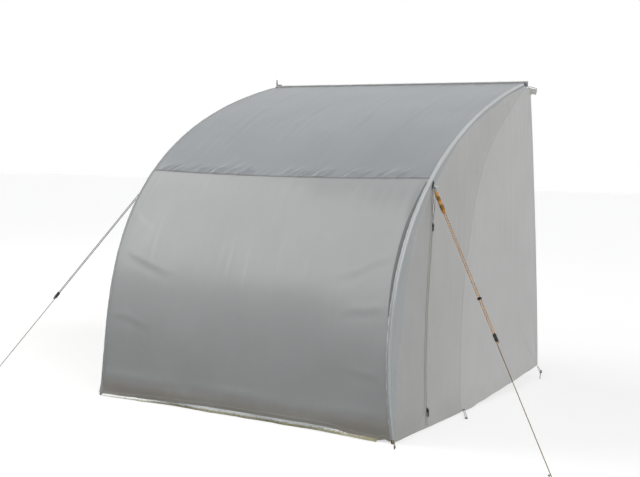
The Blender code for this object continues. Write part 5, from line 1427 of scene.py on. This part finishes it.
# Carried-over rigid parts
def dress_nodes():
    """Gives each node that no piece stands for its look."""
    for name, node in NODES.items():
        if node.hide_render:
            continue
        look = next(look for prefix, look in NODE_LOOKS if name.startswith(prefix))
        for place in node.material_slots:
            place.material = LOOKS[look]
        if not node.material_slots:
            node.data.materials.append(LOOKS[look])


# Floor, world and lamps
FLOOR_PALE, FLOOR_DARK = (0.50, 0.50, 0.50), (0.16, 0.16, 0.155)
SKY_COLOUR, WHITE = (0.96, 0.98, 1.0), (1.0, 1.0, 1.0)
# The softbox: azimuth, elevation, strength, size and colour
SOFTBOX = (-50.0, 42.0, 0.52, (14.0, 7.0), (1.0, 0.975, 0.935))
# Each sun: name, azimuth, elevation, strength and spread
SUNS = (("Lamp_front", -5.0, 8.0, 0.09, 50.0), ("Lamp_left", -78.0, 14.0, 0.80, 45.0),
        ("Lamp_right", 75.0, 15.0, 1.15, 60.0))


def white_rays(tree, behind):
    """Rays that see plain white: the camera's, and reflections of what lies behind the tent."""
    seen = add_node(tree, "ShaderNodeLightPath")
    direct = maths(tree, "MAXIMUM", seen.outputs["Is Camera Ray"], seen.outputs["Is Transmission Ray"])
    return maths(tree, "MAXIMUM", direct, maths(tree, "MULTIPLY", seen.outputs["Is Glossy Ray"], behind))


def show_choice(tree, kind, shown, plain, white):
    """Sends one shader to the rays that see white, and another to the rest."""
    choice = add_node(tree, "ShaderNodeMixShader")
    for index, value in enumerate((shown, plain.outputs[0], white.outputs[0])):
        feed(tree, choice.inputs[index], value)
    output = next(n for n in tree.nodes if n.type == kind)
    tree.links.new(choice.outputs[0], output.inputs["Surface"])


def make_floor():
    mesh = bpy.data.meshes.new("Floor")
    s = FLOOR_SIZE
    mesh.from_pydata([(-s, -s, 0), (s, -s, 0), (s, s, 0), (-s, s, 0)], [], [(0, 1, 2, 3)])
    material, tree, shader = node_material("Floor")
    tree.nodes.remove(shader)
    shown = white_rays(tree, ranged(tree, split(tree, object_place(tree))["Y"], -2.5, 0.0))
    pale = add_node(tree, "ShaderNodeBsdfDiffuse", Color=FLOOR_PALE)
    glow = add_node(tree, "ShaderNodeEmission", Color=WHITE, Strength=FLOOR_GLOW)
    both = add_node(tree, "ShaderNodeAddShader")
    tree.links.new(pale.outputs[0], both.inputs[0])
    tree.links.new(glow.outputs[0], both.inputs[1])
    ground = add_node(tree, "ShaderNodeBsdfDiffuse", Color=FLOOR_DARK)
    show_choice(tree, "OUTPUT_MATERIAL", shown, ground, both)
    mesh.materials.append(material)
    floor = bpy.data.objects.new("Floor", mesh)
    bpy.context.scene.collection.objects.link(floor)


def make_world():
    world = bpy.data.worlds.new("World")
    bpy.context.scene.world = world
    world.use_nodes = True
    tree = world.node_tree
    sky = tree.nodes["Background"]
    dress(tree, sky, Color=SKY_COLOUR, Strength=SKY_STRENGTH)
    white = add_node(tree, "ShaderNodeBackground", Color=WHITE, Strength=1.0)
    ray = split(tree, add_node(tree, "ShaderNodeTexCoord").outputs["Generated"])
    show_choice(tree, "OUTPUT_WORLD", white_rays(tree, ranged(tree, ray["Y"], -0.1, 0.4)), sky, white)


def hang_lamp(name, kind, azimuth, elevation, power, colour, aim, distance):
    """A lamp that looks at a point; azimuth 0 is in front of the tent (-Y) and 90 at its right (+X)."""
    data = bpy.data.lights.new(name, kind)
    data.energy = power
    data.color = colour
    lamp = bpy.data.objects.new(name, data)
    a, e = math.radians(azimuth), math.radians(elevation)
    to_lamp = Vector((math.cos(e) * math.sin(a), -math.cos(e) * math.cos(a), math.sin(e)))
    lamp.rotation_mode = "QUATERNION"
    lamp.rotation_quaternion = to_lamp.to_track_quat("Z", "Y")
    lamp.location = Vector(aim) + to_lamp * distance
    bpy.context.scene.collection.objects.link(lamp)
    return lamp


def make_sun(name, azimuth, elevation, strength, spread):
    """A soft lamp from far away."""
    lamp = hang_lamp(name, "SUN", azimuth, elevation, strength * math.pi, WHITE, (0.0, 0.0, 0.0),
                     SUN_DISTANCE)
    lamp.data.angle = math.radians(spread)


def make_softbox(name, azimuth, elevation, strength, size, colour):
    """A large rectangular lamp, whose reflection brightens the cloth that faces it."""
    power = strength * math.pi ** 2 * SOFTBOX_DISTANCE ** 2
    lamp = hang_lamp(name, "AREA", azimuth, elevation, power, colour, SOFTBOX_AIM, SOFTBOX_DISTANCE)
    lamp.data.shape = "RECTANGLE"
    lamp.data.size, lamp.data.size_y = size
    lamp.visible_camera = False


make_camera()
for SIDE in LABEL:
    make_guy_rope(SIDE)
make_canopy()
make_walls()
for SIDE in LABEL:
    make_sleeve(SIDE)
make_rail()
make_corner()
for SIDE in LABEL:
    make_strap(SIDE)
    make_hem_loops(SIDE)
make_zip()
make_zip_shade_guard()
dress_nodes()
make_floor()
make_world()
make_softbox("Lamp_front_left", *SOFTBOX)
for SUN in SUNS:
    make_sun(*SUN)
bpy.context.scene.view_settings.view_transform = "Standard"
